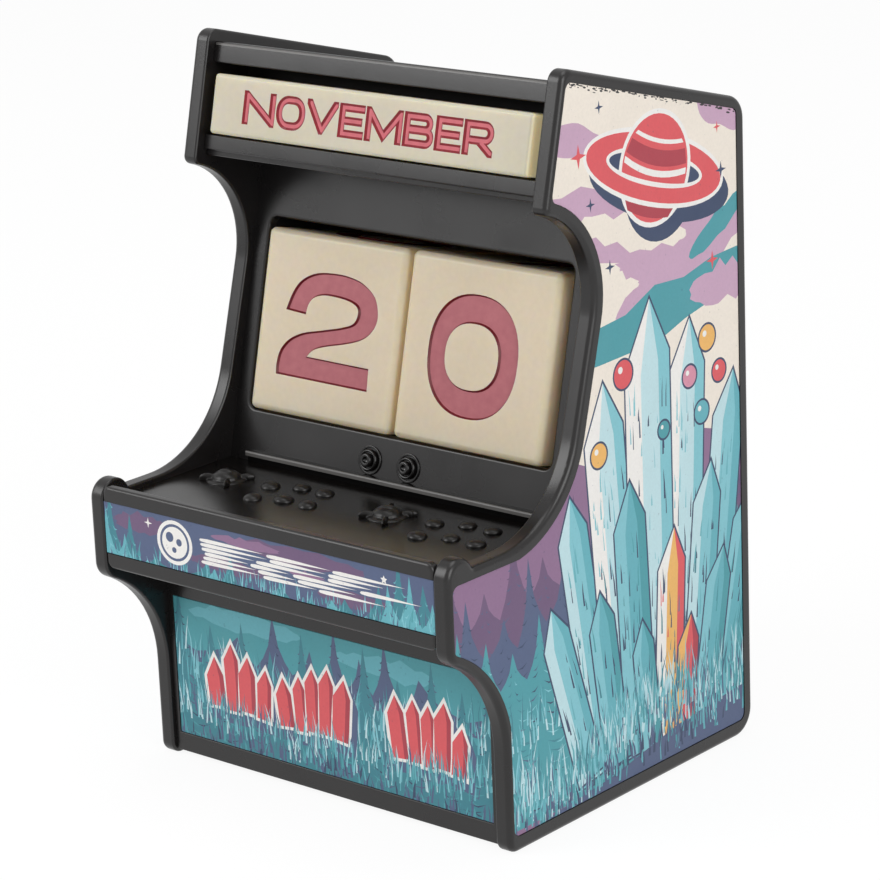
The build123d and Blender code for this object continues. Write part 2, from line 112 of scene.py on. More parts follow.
right, up, back = look_from(CAMERA_AZIMUTH, CAMERA_ELEVATION, CAMERA_ROLL)
camera_place = PIVOT + CAMERA_DISTANCE * back + FRAME_OFFSET[0] * right + FRAME_OFFSET[1] * up
camera_data = bpy.data.cameras.new("camera")
camera_data.lens = CAMERA_LENS
camera_data.sensor_width = CAMERA_SENSOR
camera_data.shift_x, camera_data.shift_y = CAMERA_SHIFT
camera_data.clip_start, camera_data.clip_end = CAMERA_NEAR, CAMERA_FAR
camera = link_object("camera", camera_data)
camera.matrix_world = (Matrix.Translation(camera_place * MM)
                       @ Matrix((right, up, back)).transposed().to_4x4())
bpy.context.scene.camera = camera
print("camera at", tuple(round(c) for c in camera_place), "mm")

# %% [markdown]
# ## Studio
#
# The cabinet stands on a white floor in a white room. White could come from strong lamps,
# but those would wash out the object too. Here the floor and the world show their own
# white to the camera and to reflections, and light the object only at a plain level. The
# floor keeps a share of ordinary matt white, so that the object's shadow stays on it.

# %% White floor and world
FLOOR_REACH, FLOOR_WHITE, FLOOR_GLOW, SHADOW_SHARE = 1.6, 0.9, 1.04, 0.12
WORLD_LIGHT, WORLD_SHOWN = 0.38, 1.0


def calculated(tree, operation, first, second):
    """A Math node on a socket and either another socket or a number."""
    node = tree.nodes.new("ShaderNodeMath")
    node.operation = operation
    tree.links.new(first, node.inputs[0])
    if isinstance(second, bpy.types.NodeSocket):
        tree.links.new(second, node.inputs[1])
    else:
        node.inputs[1].default_value = second
    return node.outputs[0]


def shown_by_share(tree, share, ordinary, shown):
    """Mix two shaders by a share, as the tree's surface."""
    mix = tree.nodes.new("ShaderNodeMixShader")
    for socket, end in ((share, mix.inputs[0]), (ordinary.outputs[0], mix.inputs[1]),
                        (shown.outputs[0], mix.inputs[2])):
        tree.links.new(socket, end)
    out = next(node for node in tree.nodes if node.type.startswith("OUTPUT"))
    tree.links.new(mix.outputs[0], out.inputs["Surface"])


floor_mesh = bpy.data.meshes.new("floor")
floor_corners = [(x * FLOOR_REACH, y * FLOOR_REACH, 0) for x, y in ((-1, -1), (1, -1), (1, 1), (-1, 1))]
floor_mesh.from_pydata(floor_corners, [], [(0, 1, 2, 3)])
floor = link_object("floor", floor_mesh)
studio_white = bpy.data.materials.new("studio white")
studio_white.use_nodes = True
floor_mesh.materials.append(studio_white)
ground = studio_white.node_tree
ground.nodes.clear()
ground.nodes.new("ShaderNodeOutputMaterial")
matt, glow = ground.nodes.new("ShaderNodeBsdfDiffuse"), ground.nodes.new("ShaderNodeEmission")
matt.inputs["Color"].default_value = (FLOOR_WHITE, FLOOR_WHITE, FLOOR_WHITE, 1)
glow.inputs["Strength"].default_value = FLOOR_GLOW
rays = ground.nodes.new("ShaderNodeLightPath").outputs
seen = calculated(ground, "MAXIMUM", rays["Is Camera Ray"], rays["Is Glossy Ray"])
shown_by_share(ground, calculated(ground, "MULTIPLY", seen, 1 - SHADOW_SHARE), matt, glow)

world = bpy.data.worlds.new("studio")
bpy.context.scene.world = world
world.use_nodes = True
sky = world.node_tree
sky.nodes.clear()
sky.nodes.new("ShaderNodeOutputWorld")
dim, bright = sky.nodes.new("ShaderNodeBackground"), sky.nodes.new("ShaderNodeBackground")
dim.inputs["Strength"].default_value = WORLD_LIGHT
bright.inputs["Strength"].default_value = WORLD_SHOWN
rays = sky.nodes.new("ShaderNodeLightPath").outputs
seen = rays["Is Camera Ray"]
for kind in ("Is Glossy Ray", "Is Transmission Ray"):
    seen = calculated(sky, "MAXIMUM", seen, rays[kind])
shown_by_share(sky, seen, dim, bright)
bpy.context.scene.view_settings.view_transform = "Standard"
print("floor", 2 * FLOOR_REACH, "m wide; world light", WORLD_LIGHT)

# %% [markdown]
# ## Lamps
#
# Black plastic shows little but what it mirrors. A small lamp would give it hard bright
# spots, so three large soft boxes are used: a key at the front left, a fill at the right
# and a weak one on top. Their broad reflections are the long grey sheen on the rims.

# %% Lamps
LAMP_TARGET = Vector((0, 0, 0.07))
LAMPS = (                        # name, place and size in metres, power in watts
    ("key from the front left", (-0.75, -0.95, 0.75), (0.8, 0.8), 8.5),
    ("fill from the right", (1.15, -0.35, 0.55), (0.7, 0.9), 7),
    ("top", (0.05, 0.1, 1.2), (0.9, 0.6), 3.5),
)
for name, lamp_place, (width, height), power in LAMPS:
    soft_box = bpy.data.lights.new(name, "AREA")
    soft_box.shape = "RECTANGLE"
    soft_box.size, soft_box.size_y = width, height
    soft_box.energy = power
    lamp = link_object(name, soft_box)
    lamp.location = lamp_place
    lamp.rotation_euler = (LAMP_TARGET - Vector(lamp_place)).to_track_quat("-Z", "Y").to_euler()
print("lamps:", [row[0] for row in LAMPS])

# %% [markdown]
# ## Finishes
#
# A flat colour with one gloss looks like a drawing of plastic. A moulded part changes its
# gloss a little from place to place and has a fine grain on its skin. An image could hold
# that, but it needs a layout for each piece. Noise on object coordinates needs none and
# has the same size on every piece, so each finish is a small node tree on such noise.

# %% Material helpers


def rgb(red, green, blue):
    """A colour written as 0 to 255 on a screen, as the linear values that Blender uses."""
    def linear(c):
        c /= 255
        return c / 12.92 if c <= 0.04045 else ((c + 0.055) / 1.055) ** 2.4
    return (linear(red), linear(green), linear(blue), 1.0)


def new_finish(name):
    """A material with its Principled shader, ready to be linked up."""
    material = bpy.data.materials.new(name)
    material.use_nodes = True
    shader = material.node_tree.nodes["Principled BSDF"]
    return material, material.node_tree, shader


def noise(tree, size, detail=3.0):
    """Noise on the piece's own place, with features about as many millimetres wide as size."""
    coords = tree.nodes.new("ShaderNodeTexCoord")
    texture = tree.nodes.new("ShaderNodeTexNoise")
    texture.inputs["Scale"].default_value = 1 / MM / size
    texture.inputs["Detail"].default_value = detail
    tree.links.new(coords.outputs["Object"], texture.inputs["Vector"])
    return texture.outputs["Fac"]


def ramp(tree, value, stops):
    """Map a value from one colour to another, each given as (position, colour)."""
    node = tree.nodes.new("ShaderNodeValToRGB")
    for element, (position, colour) in zip(node.color_ramp.elements, stops):
        element.position = position
        element.color = colour
    tree.links.new(value, node.inputs["Fac"])
    return node.outputs["Color"]


def grey(value):
    """A grey between 0 and 1, for a ramp that steers a number."""
    return (value, value, value, 1)


def bump(tree, shader, height, strength, distance):
    """Bump from a height between 0 and 1; distance in millimetres."""
    node = tree.nodes.new("ShaderNodeBump")
    node.inputs["Strength"].default_value = strength
    node.inputs["Distance"].default_value = distance * MM
    tree.links.new(height, node.inputs["Height"])
    tree.links.new(node.outputs["Normal"], shader.inputs["Normal"])


def mixed(tree, kind, share, first, second):
    """Mix two colours; the share and the colours may be values or sockets."""
    node = tree.nodes.new("ShaderNodeMix")
    node.data_type = "RGBA"
    node.blend_type = kind
    for socket, value in ((node.inputs["Factor"], share), (node.inputs["A"], first),
                          (node.inputs["B"], second)):
        if isinstance(value, bpy.types.NodeSocket):
            tree.links.new(value, socket)
        else:
            socket.default_value = value
    return node.outputs["Result"]


print("a mid grey of 128 is", round(rgb(128, 128, 128)[0], 3), "in linear light")

# %% [markdown]
# ## Black plastic
#
# The whole cabinet is one black, yet its plates shine differently: a moulding's skin is
# glossier where its tool was polished, and duller where no light gets in. Two of these
# blacks carry painted light: a lighter one is a painted highlight on thin edges, and a
# near-black one is painted shade in the step under the deck's ledge. One function with a
# gloss, a grain and a tone makes all of these blacks.

# %% Black plastic
DUST = rgb(38, 36, 36)


def black_plastic(name, rough_low, rough_high, grain, grain_depth, sheen=0.48, tone=(24, 22, 22)):
    """Satin moulded black: uneven gloss, faint dust and a fine skin."""
    material, tree, shader = new_finish(name)
    cloud = noise(tree, 14.0, 4.0)
    speck = noise(tree, 0.5, 2.0)
    gloss = ramp(tree, cloud, [(0.3, grey(rough_low)), (0.7, grey(rough_high))])
    tree.links.new(gloss, shader.inputs["Roughness"])
    shader.inputs["Specular IOR Level"].default_value = sheen
    shade = ramp(tree, cloud, [(0.3, rgb(*[c - 2 for c in tone])), (0.7, rgb(*[c + 3 for c in tone]))])
    dust = ramp(tree, speck, [(0.60, grey(0.0)), (0.78, grey(0.25))])
    tree.links.new(mixed(tree, "MIX", dust, shade, DUST), shader.inputs["Base Color"])
    bump(tree, shader, noise(tree, grain, 2.0), 0.6, grain_depth)
    return material


shell_black = black_plastic("satin black shell", 0.24, 0.34, 0.45, 0.010)
roof_black = black_plastic("glossier black roof", 0.18, 0.26, 0.45, 0.008, 0.55)
deck_black = black_plastic("glossier black deck", 0.17, 0.25, 0.6, 0.006, 0.38, (13, 11, 10))
# A lighter black on thin edges: a painted highlight.
highlight_painted_black = black_plastic("black with painted highlight", 0.35, 0.45, 0.6, 0.006, 0.6, (92, 90, 88))
# A near-black in the step under the deck's ledge: painted shade.
shade_painted_black = black_plastic("black with painted shade", 0.70, 0.80, 0.8, 0.01, 0.05, (7, 6, 6))
control_black = black_plastic("black controls", 0.28, 0.38, 0.9, 0.04, 0.34, (17, 15, 14))
stud_black = black_plastic("black studs", 0.16, 0.24, 0.5, 0.006, 0.5, (15, 13, 13))
inner_black = black_plastic("inner black", 0.60, 0.70, 0.8, 0.02, 0.15)
print("blacks:", [m.name for m in bpy.data.materials if "black" in m.name])

# %% [markdown]
# ## Ivory, paint and steel
#
# The cubes and bars are waxy: light goes in and comes out a little further on. Subsurface
# scattering does that. A thick lit block also passes light right through, which costs many
# rays, so a faint painted glow on some faces stands in for it. The sunk digits hold matt
# paint, with a darker tone on their walls as painted shade, and the four screws are plated steel.

# %% Ivory, paint and steel
# The colour of the painted glow that lifts shaded faces of the ivory.
PAINTED_GLOW = rgb(208, 196, 150)
SCATTER_COLOURS, SCATTER_DEPTH = (1.0, 0.72, 0.3), 5.5


def ivory_plastic(name, low, high, axis, near, far):
    """Waxy ivory: light passes a little way in, and the tone wanders by a few percent.

    A faint painted glow stands for light that has come through the piece. It goes from near
    to far on the faces that point along the axis: more at a bar's shaded end, none on top of
    a cube, which stays in shade."""
    material, tree, shader = new_finish(name)
    cloud = noise(tree, 22.0, 3.0)
    tone = ramp(tree, cloud, [(0.25, low), (0.75, high)])
    mottle = ramp(tree, noise(tree, 1.1, 3.0), [(0.35, grey(0.97)), (0.65, grey(1.0))])
    tree.links.new(mixed(tree, "MULTIPLY", 1.0, tone, mottle), shader.inputs["Base Color"])
    gloss = ramp(tree, noise(tree, 6.0), [(0.3, grey(0.34)), (0.7, grey(0.44))])
    tree.links.new(gloss, shader.inputs["Roughness"])
    shader.inputs["Subsurface Weight"].default_value = 1.0
    shader.inputs["Subsurface Radius"].default_value = SCATTER_COLOURS
    shader.inputs["Subsurface Scale"].default_value = SCATTER_DEPTH * MM
    shader.inputs["Emission Color"].default_value = PAINTED_GLOW
    facing = tree.nodes.new("ShaderNodeSeparateXYZ")
    tree.links.new(tree.nodes.new("ShaderNodeNewGeometry").outputs["Normal"], facing.inputs[0])
    glow = ramp(tree, facing.outputs[axis], [(0.55, grey(near)), (0.75, grey(far))])
    tree.links.new(glow, shader.inputs["Emission Strength"])
    bump(tree, shader, noise(tree, 0.7, 2.0), 0.4, 0.008)
    return material


def paint(name, low, high, rough):
    """Matt paint in the sunk digits and letters: the filling, and the darker tone on the walls that is
    painted shade.
    """
    material, tree, shader = new_finish(name)
    tree.links.new(ramp(tree, noise(tree, 1.6, 4.0), [(0.3, low), (0.7, high)]), shader.inputs["Base Color"])
    shader.inputs["Roughness"].default_value = rough
    bump(tree, shader, noise(tree, 0.35, 2.0), 0.5, 0.01)
    return material


def steel(name):
    """Brushed plated steel for the four small screws."""
    material, tree, shader = new_finish(name)
    shader.inputs["Metallic"].default_value = 1.0
    shade = ramp(tree, noise(tree, 1.5, 3.0), [(0.3, rgb(150, 150, 152)), (0.7, rgb(176, 176, 178))])
    tree.links.new(shade, shader.inputs["Base Color"])
    tree.links.new(ramp(tree, noise(tree, 0.6), [(0.3, grey(0.28)), (0.7, grey(0.4))]),
                   shader.inputs["Roughness"])
    return material


ivory = ivory_plastic("ivory plastic", rgb(216, 201, 176), rgb(224, 209, 187), "Z", 0.06, 0.0)
bar_ivory = ivory_plastic("pale ivory bar", rgb(198, 190, 171), rgb(207, 199, 181), "X", 0.04, 0.42)
screw_steel = steel("plated steel")
rose_fill = paint("rose filling", rgb(172, 91, 100), rgb(182, 101, 109), 0.5)
bright_fill = paint("bright rose filling", rgb(196, 84, 96), rgb(210, 98, 108), 0.4)
# The walls' darker reds are painted shade in the sunk digits and letters.
rose_wall_painted_shade = paint("rose wall with painted shade", rgb(98, 10, 22), rgb(114, 18, 30), 0.45)
letter_wall_painted_shade = paint("red wall with painted shade", rgb(122, 6, 24), rgb(138, 12, 32), 0.45)
print("other finishes:", [m.name for m in (ivory, bar_ivory, screw_steel, rose_fill, bright_fill)])

# %% [markdown]
# ## Outlines
#
# Digits, letters and printed pictures all start as closed outlines in a plane. Text and
# curve objects could make them, but a font's shapes can't be given round bends and even
# walls. Plain lists of points can, so a few helpers make these: an ellipse, a smooth curve
# through points, and an outline moved sideways or grown by an even amount.

# %% Closed outlines
CORNER_LIMIT = 0.5               # a corner moves by at most the growth over this number


def area(outline):
    """The area inside an outline: negative where it runs clockwise."""
    return 0.5 * sum(a[0] * b[1] - b[0] * a[1] for a, b in zip(outline, outline[1:] + outline[:1]))


def counterclockwise(outline):
    """The outline, turned round where it runs clockwise."""
    return outline if area(outline) > 0 else outline[::-1]


def smooth(points, sharp, steps=4):
    """A closed curve through the points, with sharp corners at some of them."""
    count, curve = len(points), []
    for i in range(count):
        p0, p1, p2, p3 = (Vector(points[(i + k) % count]) for k in (-1, 0, 1, 2))
        if i in sharp:
            p0 = p1
        if (i + 1) % count in sharp:
            p3 = p2
        straight = i in sharp and (i + 1) % count in sharp
        for step in range(1 if straight else steps):
            t = step / steps
            curve.append(tuple(0.5 * (2 * p1 + (p2 - p0) * t + (2 * p0 - 5 * p1 + 4 * p2 - p3) * t * t
                                      + (3 * p1 - p0 - 3 * p2 + p3) * t ** 3)))
    return curve


def ellipse(cx, cy, rx, ry, turn=0.0, steps=28, power=2.0):
    """An ellipse, squarer where power is over 2."""
    curve = []
    for i in range(steps):
        a = 2 * math.pi * i / steps
        x = rx * math.copysign(abs(math.cos(a)) ** (2 / power), math.cos(a))
        y = ry * math.copysign(abs(math.sin(a)) ** (2 / power), math.sin(a))
        curve.append((cx + x * math.cos(turn) - y * math.sin(turn),
                      cy + x * math.sin(turn) + y * math.cos(turn)))
    return curve


def grown(outline, amount):
    """The outline moved outwards by an amount, or inwards where it is negative."""
    outline = counterclockwise(list(outline))
    result = []
    count = len(outline)
    for i in range(count):
        before, here, after = (Vector(outline[(i + k) % count]) for k in (-1, 0, 1))
        a, b = (here - before).normalized(), (after - here).normalized()
        normal = (Vector((a.y, -a.x)) + Vector((b.y, -b.x)))
        scale = amount / max(CORNER_LIMIT, normal.length / 2)
        result.append(tuple(here + normal.normalized() * scale))
    return result


def moved(outline, across, up):
    """The outline shifted in its plane."""
    return [(x + across, y + up) for x, y in outline]


print("a square of 2 grown by 1 covers", area(grown([(0, 0), (2, 0), (2, 2), (0, 2)], 1)), "square mm")

# %% [markdown]
# ## Strokes
#
# A letter of even weight is easiest to give as a pen would draw it: a few corners in a
# box. The line's square corners are turned into arcs first, and then the line gets its
# width. Slanted corners, as in an N, stay sharp.

# %% Strokes
ARC_STEP = 0.35                  # the length of one short straight line on an arc
END_ROOM, MIDDLE_ROOM = 0.95, 0.49        # the share of a line that one bend may use up
NEARLY_STRAIGHT = math.radians(85)
MITRE_LIMIT = 0.3                # a mitre is at most the stroke's width over this number


def slanted(a, b):
    """Whether the line between two points is neither level nor upright."""
    return a[0] != b[0] and a[1] != b[1]


def rounded_path(points, bend):
    """An open line whose square corners are arcs of the given radius, or less where it is short."""
    path = [Vector(points[0])]
    for i in range(1, len(points) - 1):
        before, corner, after = (Vector(points[i + k]) for k in (-1, 0, 1))
        a, b = (before - corner), (after - corner)
        half = a.angle(b) / 2
        if half > NEARLY_STRAIGHT or slanted(before, corner) or slanted(corner, after):
            path.append(corner)
            continue
        room_a = a.length * (END_ROOM if i == 1 else MIDDLE_ROOM)
        room_b = b.length * (END_ROOM if i == len(points) - 2 else MIDDLE_ROOM)
        radius = min(bend, room_a * math.tan(half), room_b * math.tan(half))
        reach = radius / math.tan(half)
        start, end = corner + a.normalized() * reach, corner + b.normalized() * reach
        centre = corner + (a.normalized() + b.normalized()).normalized() * radius / math.sin(half)
        sweep = math.pi - 2 * half
        count = max(2, round(radius * sweep / ARC_STEP))
        side = 1 if (start - centre).cross(end - centre) > 0 else -1
        for k in range(count + 1):
            path.append(centre + Matrix.Rotation(side * sweep * k / count, 2) @ (start - centre))
    path.append(Vector(points[-1]))
    return path


def stroke(path, width, extend=(0.0, 0.0)):
    """The outline of a stroke of even width along a path, with mitred corners and flat ends."""
    path = [Vector(p) for p in path]
    path[0] = path[0] + (path[0] - path[1]).normalized() * extend[0]
    path[-1] = path[-1] + (path[-1] - path[-2]).normalized() * extend[1]
    left, right = [], []
    for i, p in enumerate(path):
        before = (p - path[max(i - 1, 0)]).normalized()
        after = (path[min(i + 1, len(path) - 1)] - p).normalized()
        ahead = (before + after).normalized()
        mitre = 1 / max(MITRE_LIMIT, ahead.dot(after if after.length else before))
        normal = Vector((-ahead.y, ahead.x)) * mitre * width / 2
        left.append(tuple(p + normal))
        right.append(tuple(p - normal))
    return left + right[::-1]


print("a stroke of 3 corners becomes", len(stroke(rounded_path([(0, 0), (9, 0), (9, 9)], 3), 2)), "points")

# %% [markdown]
# ## Cutting a plane along outlines
#
# Boolean cuts could sink a digit or part two inks, but each is slow and leaves odd faces.
# A triangulation that respects every outline does all cuts at once. It then tells, for
# each small triangle, which outlines hold it. That one tool engraves a digit and paints a
# picture.

# %% Cutting a plane along outlines
SAME_POINT = 1e-5                # outline points nearer than this become one


def inside(outline, places):
    """Numbers of the places in a closed outline: a line to their right crosses its edge oddly."""
    edge = np.array(outline)
    near = np.nonzero(((places > edge.min(axis=0)) & (places < edge.max(axis=0))).all(axis=1))[0]
    x, y = places[near].T
    odd = np.zeros(len(near), bool)
    for (x0, y0), (x1, y1) in zip(edge, np.roll(edge, -1, axis=0)):
        if y0 != y1:
            odd ^= ((y0 > y) != (y1 > y)) & (x < x0 + (y - y0) * (x1 - x0) / (y1 - y0))
    return near[odd]


def divide(outlines):
    """Cut the plane along the outlines; give points, triangles and the outlines round each."""
    points, loops = [], []
    for outline in outlines:
        outline = counterclockwise(list(outline))
        loops.append(list(range(len(points), len(points) + len(outline))))
        points += [Vector(p[:2]) for p in outline]
    found, _, triangles, _, _, _ = delaunay_2d_cdt(points, [], loops, 1, SAME_POINT)
    middles = np.array(found)[np.array(triangles)].mean(axis=1)
    holders = [[] for _ in triangles]
    for k, outline in enumerate(outlines):
        for i in inside(outline, middles):
            holders[i].append(k)
    return found, triangles, holders


def closed_loop(edges):
    """The points of a closed rim in turn, from its edges in any order."""
    after = {start: end for start, end in edges}
    loop = [min(after)]
    while after[loop[-1]] != loop[0]:
        loop.append(after[loop[-1]])
    return loop


print("two crossing squares give", len(divide([[(0, 0), (2, 0), (2, 2), (0, 2)],
                                               [(1, 1), (3, 1), (3, 3), (1, 3)]])[1]), "triangles")

# %% [markdown]
# ## Meshes from plain lists
#
# Every piece ends as one mesh whose object stays at the origin, so that a pattern on
# object coordinates has the same size and place everywhere. This helper takes points in
# millimetres, a matrix that puts them in their place, and for each face the number of its
# finish. It also says which body the piece moves with and which CAD node it replaces.

# %% Making a piece
MERGE_GRID = 0.001


def make_piece(name, body, points, faces, finishes, node, finish_of_face=None,
               place=Matrix.Identity(4)):
    """One finished mesh that rides on a body and replaces a CAD node."""
    mesh = bpy.data.meshes.new(name)
    mesh.from_pydata([tuple(place @ Vector(p) * MM) for p in points], [], faces)
    for finish in finishes:
        mesh.materials.append(finish)
    if finish_of_face:
        mesh.polygons.foreach_set("material_index", finish_of_face)
    mesh.validate()
    mesh.update()
    piece = link_object(name, mesh)
    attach(piece, body)
    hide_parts(node)
    return piece


def merged(points, faces, extra):
    """Join points that coincide, and carry one extra value for each face along."""
    seen, remap, kept = {}, [], []
    for p in points:
        key = tuple(round(c / MERGE_GRID) for c in p)
        if key not in seen:
            seen[key] = len(kept)
            kept.append(p)
        remap.append(seen[key])
    new_faces, new_extra = [], []
    for face, value in zip(faces, extra):
        mapped = [remap[i] for i in face]
        if len(set(mapped)) >= 3:
            new_faces.append(mapped)
            new_extra.append(value)
    return kept, new_faces, new_extra


print("merging works on a grid of", MERGE_GRID, "mm")

# %% [markdown]
# ## Engraving a face
#
# A digit is sunk into its cube with slightly sloping walls, and a darker colour on them
# is painted shade. A bump map could fake the sinking, but it would stay flat from the side.
# Two outlines make it real: the digit's edge on the surface, and the same edge drawn in a
# little on the sunk floor. Points on the inner outline move down, and the triangles between
# the two outlines become the walls by themselves.

# %% Engraved face
PLAIN, WALL, SUNK = 0, 1, 2


def holds(shape, holders, first):
    """Whether a triangle lies in a shape: in a solid, in its box, and in none of its holes."""
    around = {first + k for k in range(len(shape))} & set(holders)
    kinds = {shape[k - first][0] for k in around}
    needs_box = any(kind == "box" for kind, _ in shape)
    return "solid" in kinds and "hole" not in kinds and (not needs_box or "box" in kinds)


def engraved_face(width, height, glyphs, depth):
    """Points (x, y, -depth), triangles and their kinds, for glyphs given as (outer, inner)."""
    border = [(-width / 2, -height / 2), (width / 2, -height / 2), (width / 2, height / 2),
              (-width / 2, height / 2)]
    outlines, spans = [border], []
    for outer, inner in glyphs:
        spans.append((outer, len(outlines), inner, len(outlines) + len(outer)))
        outlines += [outline for _, outline in outer] + [outline for _, outline in inner]
    points, triangles, holders = divide(outlines)
    kinds = []
    for around in holders:
        kind = PLAIN
        for outer, first_outer, inner, first_inner in spans:
            if holds(inner, around, first_inner):
                kind = SUNK
            elif kind == PLAIN and holds(outer, around, first_outer):
                kind = WALL
        kinds.append(kind)
    touched = [set() for _ in points]
    for triangle, kind in zip(triangles, kinds):
        for i in triangle:
            touched[i].add(kind)
    down = []
    for kinds_here in touched:
        if SUNK in kinds_here:
            down.append(-depth)
        elif PLAIN in kinds_here or not kinds_here:
            down.append(0.0)
        else:
            down.append(-depth / 2)
    return [(p.x, p.y, z) for p, z in zip(points, down)], [tuple(t) for t in triangles], kinds


print("kinds of engraved face: plain, wall, sunk =", (PLAIN, WALL, SUNK))

# %% [markdown]
# ## Blocks with engraved faces
#
# A cube or bar has a rounding moulded round all its edges. Blender's bevel makes that
# frame, its six flat faces are taken out, and engraved ones are set in. Shaded by the
# plain rounding, the edges would look like soap, so the normals are bent a little towards
# a flat chamfer, which gives each edge the crisp line of light of a moulded one.

# %% Engraved blocks
DIRECTIONS = {                   # outward normal, and which way is right on that face
    "front": ((0, -1, 0), (1, 0, 0)), "right": ((1, 0, 0), (0, 1, 0)), "back": ((0, 1, 0), (-1, 0, 0)),
    "left": ((-1, 0, 0), (0, -1, 0)), "top": ((0, 0, 1), (1, 0, 0)), "bottom": ((0, 0, -1), (1, 0, 0)),
}
CHAMFER = 0.6                    # 1 shades a true rounding; less makes it look like a flat chamfer
FLAT = 1e-4


def rounded_block(size, radius, faces, depth, segments):
    """A block with rounded edges whose six faces carry glyphs; faces maps a direction to them."""
    shell = bmesh.new()
    bmesh.ops.create_cube(shell, size=1.0)
    bmesh.ops.scale(shell, vec=size, verts=shell.verts)
    bmesh.ops.bevel(shell, geom=list(shell.edges), offset=radius, segments=segments, profile=0.5,
                    affect="EDGES")
    half = [s / 2 for s in size]
    main = [f for f in shell.faces if any(
        all(abs(abs(v.co[axis]) - half[axis]) < FLAT for v in f.verts) and f.calc_area() > radius * radius
        for axis in range(3))]
    bmesh.ops.delete(shell, geom=main, context="FACES")
    points = [tuple(v.co) for v in shell.verts]
    shell.verts.index_update()
    polygons = [[v.index for v in f.verts] for f in shell.faces]
    kinds = [PLAIN] * len(polygons)
    shell.free()
    for direction, (normal, right) in DIRECTIONS.items():
        normal, right = Vector(normal), Vector(right)
        up = normal.cross(right)
        extent = [abs(sum(v[k] * size[k] for k in range(3))) for v in (right, up, normal)]
        patch, triangles, patch_kinds = engraved_face(
            extent[0] - 2 * radius, extent[1] - 2 * radius, faces.get(direction, []), depth)
        start = len(points)
        points += [tuple(right * x + up * y + normal * (extent[2] / 2 + z)) for x, y, z in patch]
        polygons += [[start + i for i in t] for t in triangles]
        kinds += patch_kinds
    return merged(points, polygons, kinds)


def soften(piece, size, radius, place):
    """Shade the block's rounding by normals bent towards a chamfer, and its engraving flat."""
    mesh = piece.data
    inner = Vector(s / 2 - radius for s in size)
    back_to_block = place.inverted()
    turn = place.to_3x3()
    normals = []
    for polygon in mesh.polygons:
        for index in polygon.loop_indices:
            local = back_to_block @ (mesh.vertices[mesh.loops[index].vertex_index].co / MM)
            nearest = Vector(max(-i, min(i, c)) for i, c in zip(inner, local))
            away = local - nearest
            if polygon.material_index == PLAIN and away.length > radius * 0.5:
                bent = Vector(math.copysign(abs(c / away.length) ** CHAMFER, c) for c in away)
                normals.append(turn @ bent.normalized())
            else:
                normals.append(polygon.normal)
    mesh.polygons.foreach_set("use_smooth", [True] * len(mesh.polygons))
    mesh.normals_split_custom_set([tuple(n) for n in normals])


print("a block has", len(DIRECTIONS), "faces that can be engraved")

# %% [markdown]
# ## Digits
#
# The "2" and the "0" are drawn as outlines, because their curves swell and narrow. The
# other digits could be drawn so too, but a plain stroke of the same weight with round
# bends is enough for them: each is a few corners in a box one wide and one high.

# %% Digit shapes
DIGIT_WIDTH, DIGIT_HEIGHT, DIGIT_STROKE, DIGIT_WALL, DIGIT_BEND, DIGIT_DROP = 20.7, 21.6, 4.2, 0.32, 5.6, 0.4
ZERO_OUTER, ZERO_HOLE = (-0.5, -0.15, 10.33, 11.18), (-0.75, -0.2, 6.1, 5.95)     # middle and radii
ZERO_POWER, ZERO_STEPS = 2.3, (56, 44)
TWO = [
    (-11.2, 2.1), (-9.9, 5.6), (-7.9, 8.1), (-4.4, 9.7), (0.3, 10.16), (4.2, 9.9), (7.3, 9.0), (10.1, 7.0),
    (11.2, 4.1), (10.9, 1.9), (9.4, -0.1), (7.2, -1.4), (3.6, -2.5), (-0.6, -3.5), (-3.4, -4.5), (-4.8, -5.9),
    (10.4, -6.0), (10.6, -10.2), (-12.0, -10.1), (-12.1, -8.0), (-11.5, -5.5), (-9.6, -3.3), (-6.4, -1.7),
    (-2.0, -0.65), (2.7, 0.5), (5.5, 1.6), (6.4, 3.4), (5.9, 4.8), (3.7, 5.6), (0.3, 5.9), (-2.6, 5.8),
    (-4.8, 5.0), (-5.9, 3.5), (-6.2, 1.8),
]
TWO_CORNERS, TWO_SHIFT = (0, 15, 16, 17, 18, 33), (0.7, 0.2)
STROKES = {
    "1": [((0.1, 0.7), (0.6, 1), (0.6, 0))],
    "3": [((0, 0.76), (0, 1), (1, 1), (1, 0.52), (0.35, 0.52)),
          ((0.35, 0.52), (1, 0.52), (1, 0), (0, 0), (0, 0.24))],
    "4": [((0.7, 0), (0.7, 1), (0, 0.28), (1, 0.28))],
    "5": [((1, 1), (0.06, 1)), ((0.06, 1), (0.06, 0.55)),
          ((0.06, 0.56), (1, 0.56), (1, 0), (0, 0), (0, 0.22))],
    "6": [((0.95, 1), (0, 1), (0, 0), (0.5, 0)), ((0.5, 0), (1, 0), (1, 0.56), (0.05, 0.56))],
    "7": [((0, 1), (1, 1), (0.3, 0))],
    "8": [((0.5, 0), (0, 0), (0, 0.5), (0.5, 0.5)), ((0.5, 0), (1, 0), (1, 0.5), (0.5, 0.5)),
          ((0.5, 1), (0, 1), (0, 0.5), (0.5, 0.5)), ((0.5, 1), (1, 1), (1, 0.5), (0.5, 0.5))],
}


def end_length(end, before, weight):
    """How far a stroke goes past its end point; a slanted one is cut flat by its glyph's box."""
    if not slanted(end, before):
        return weight / 2
    return weight if end[1] in (0, 1) else 0.0


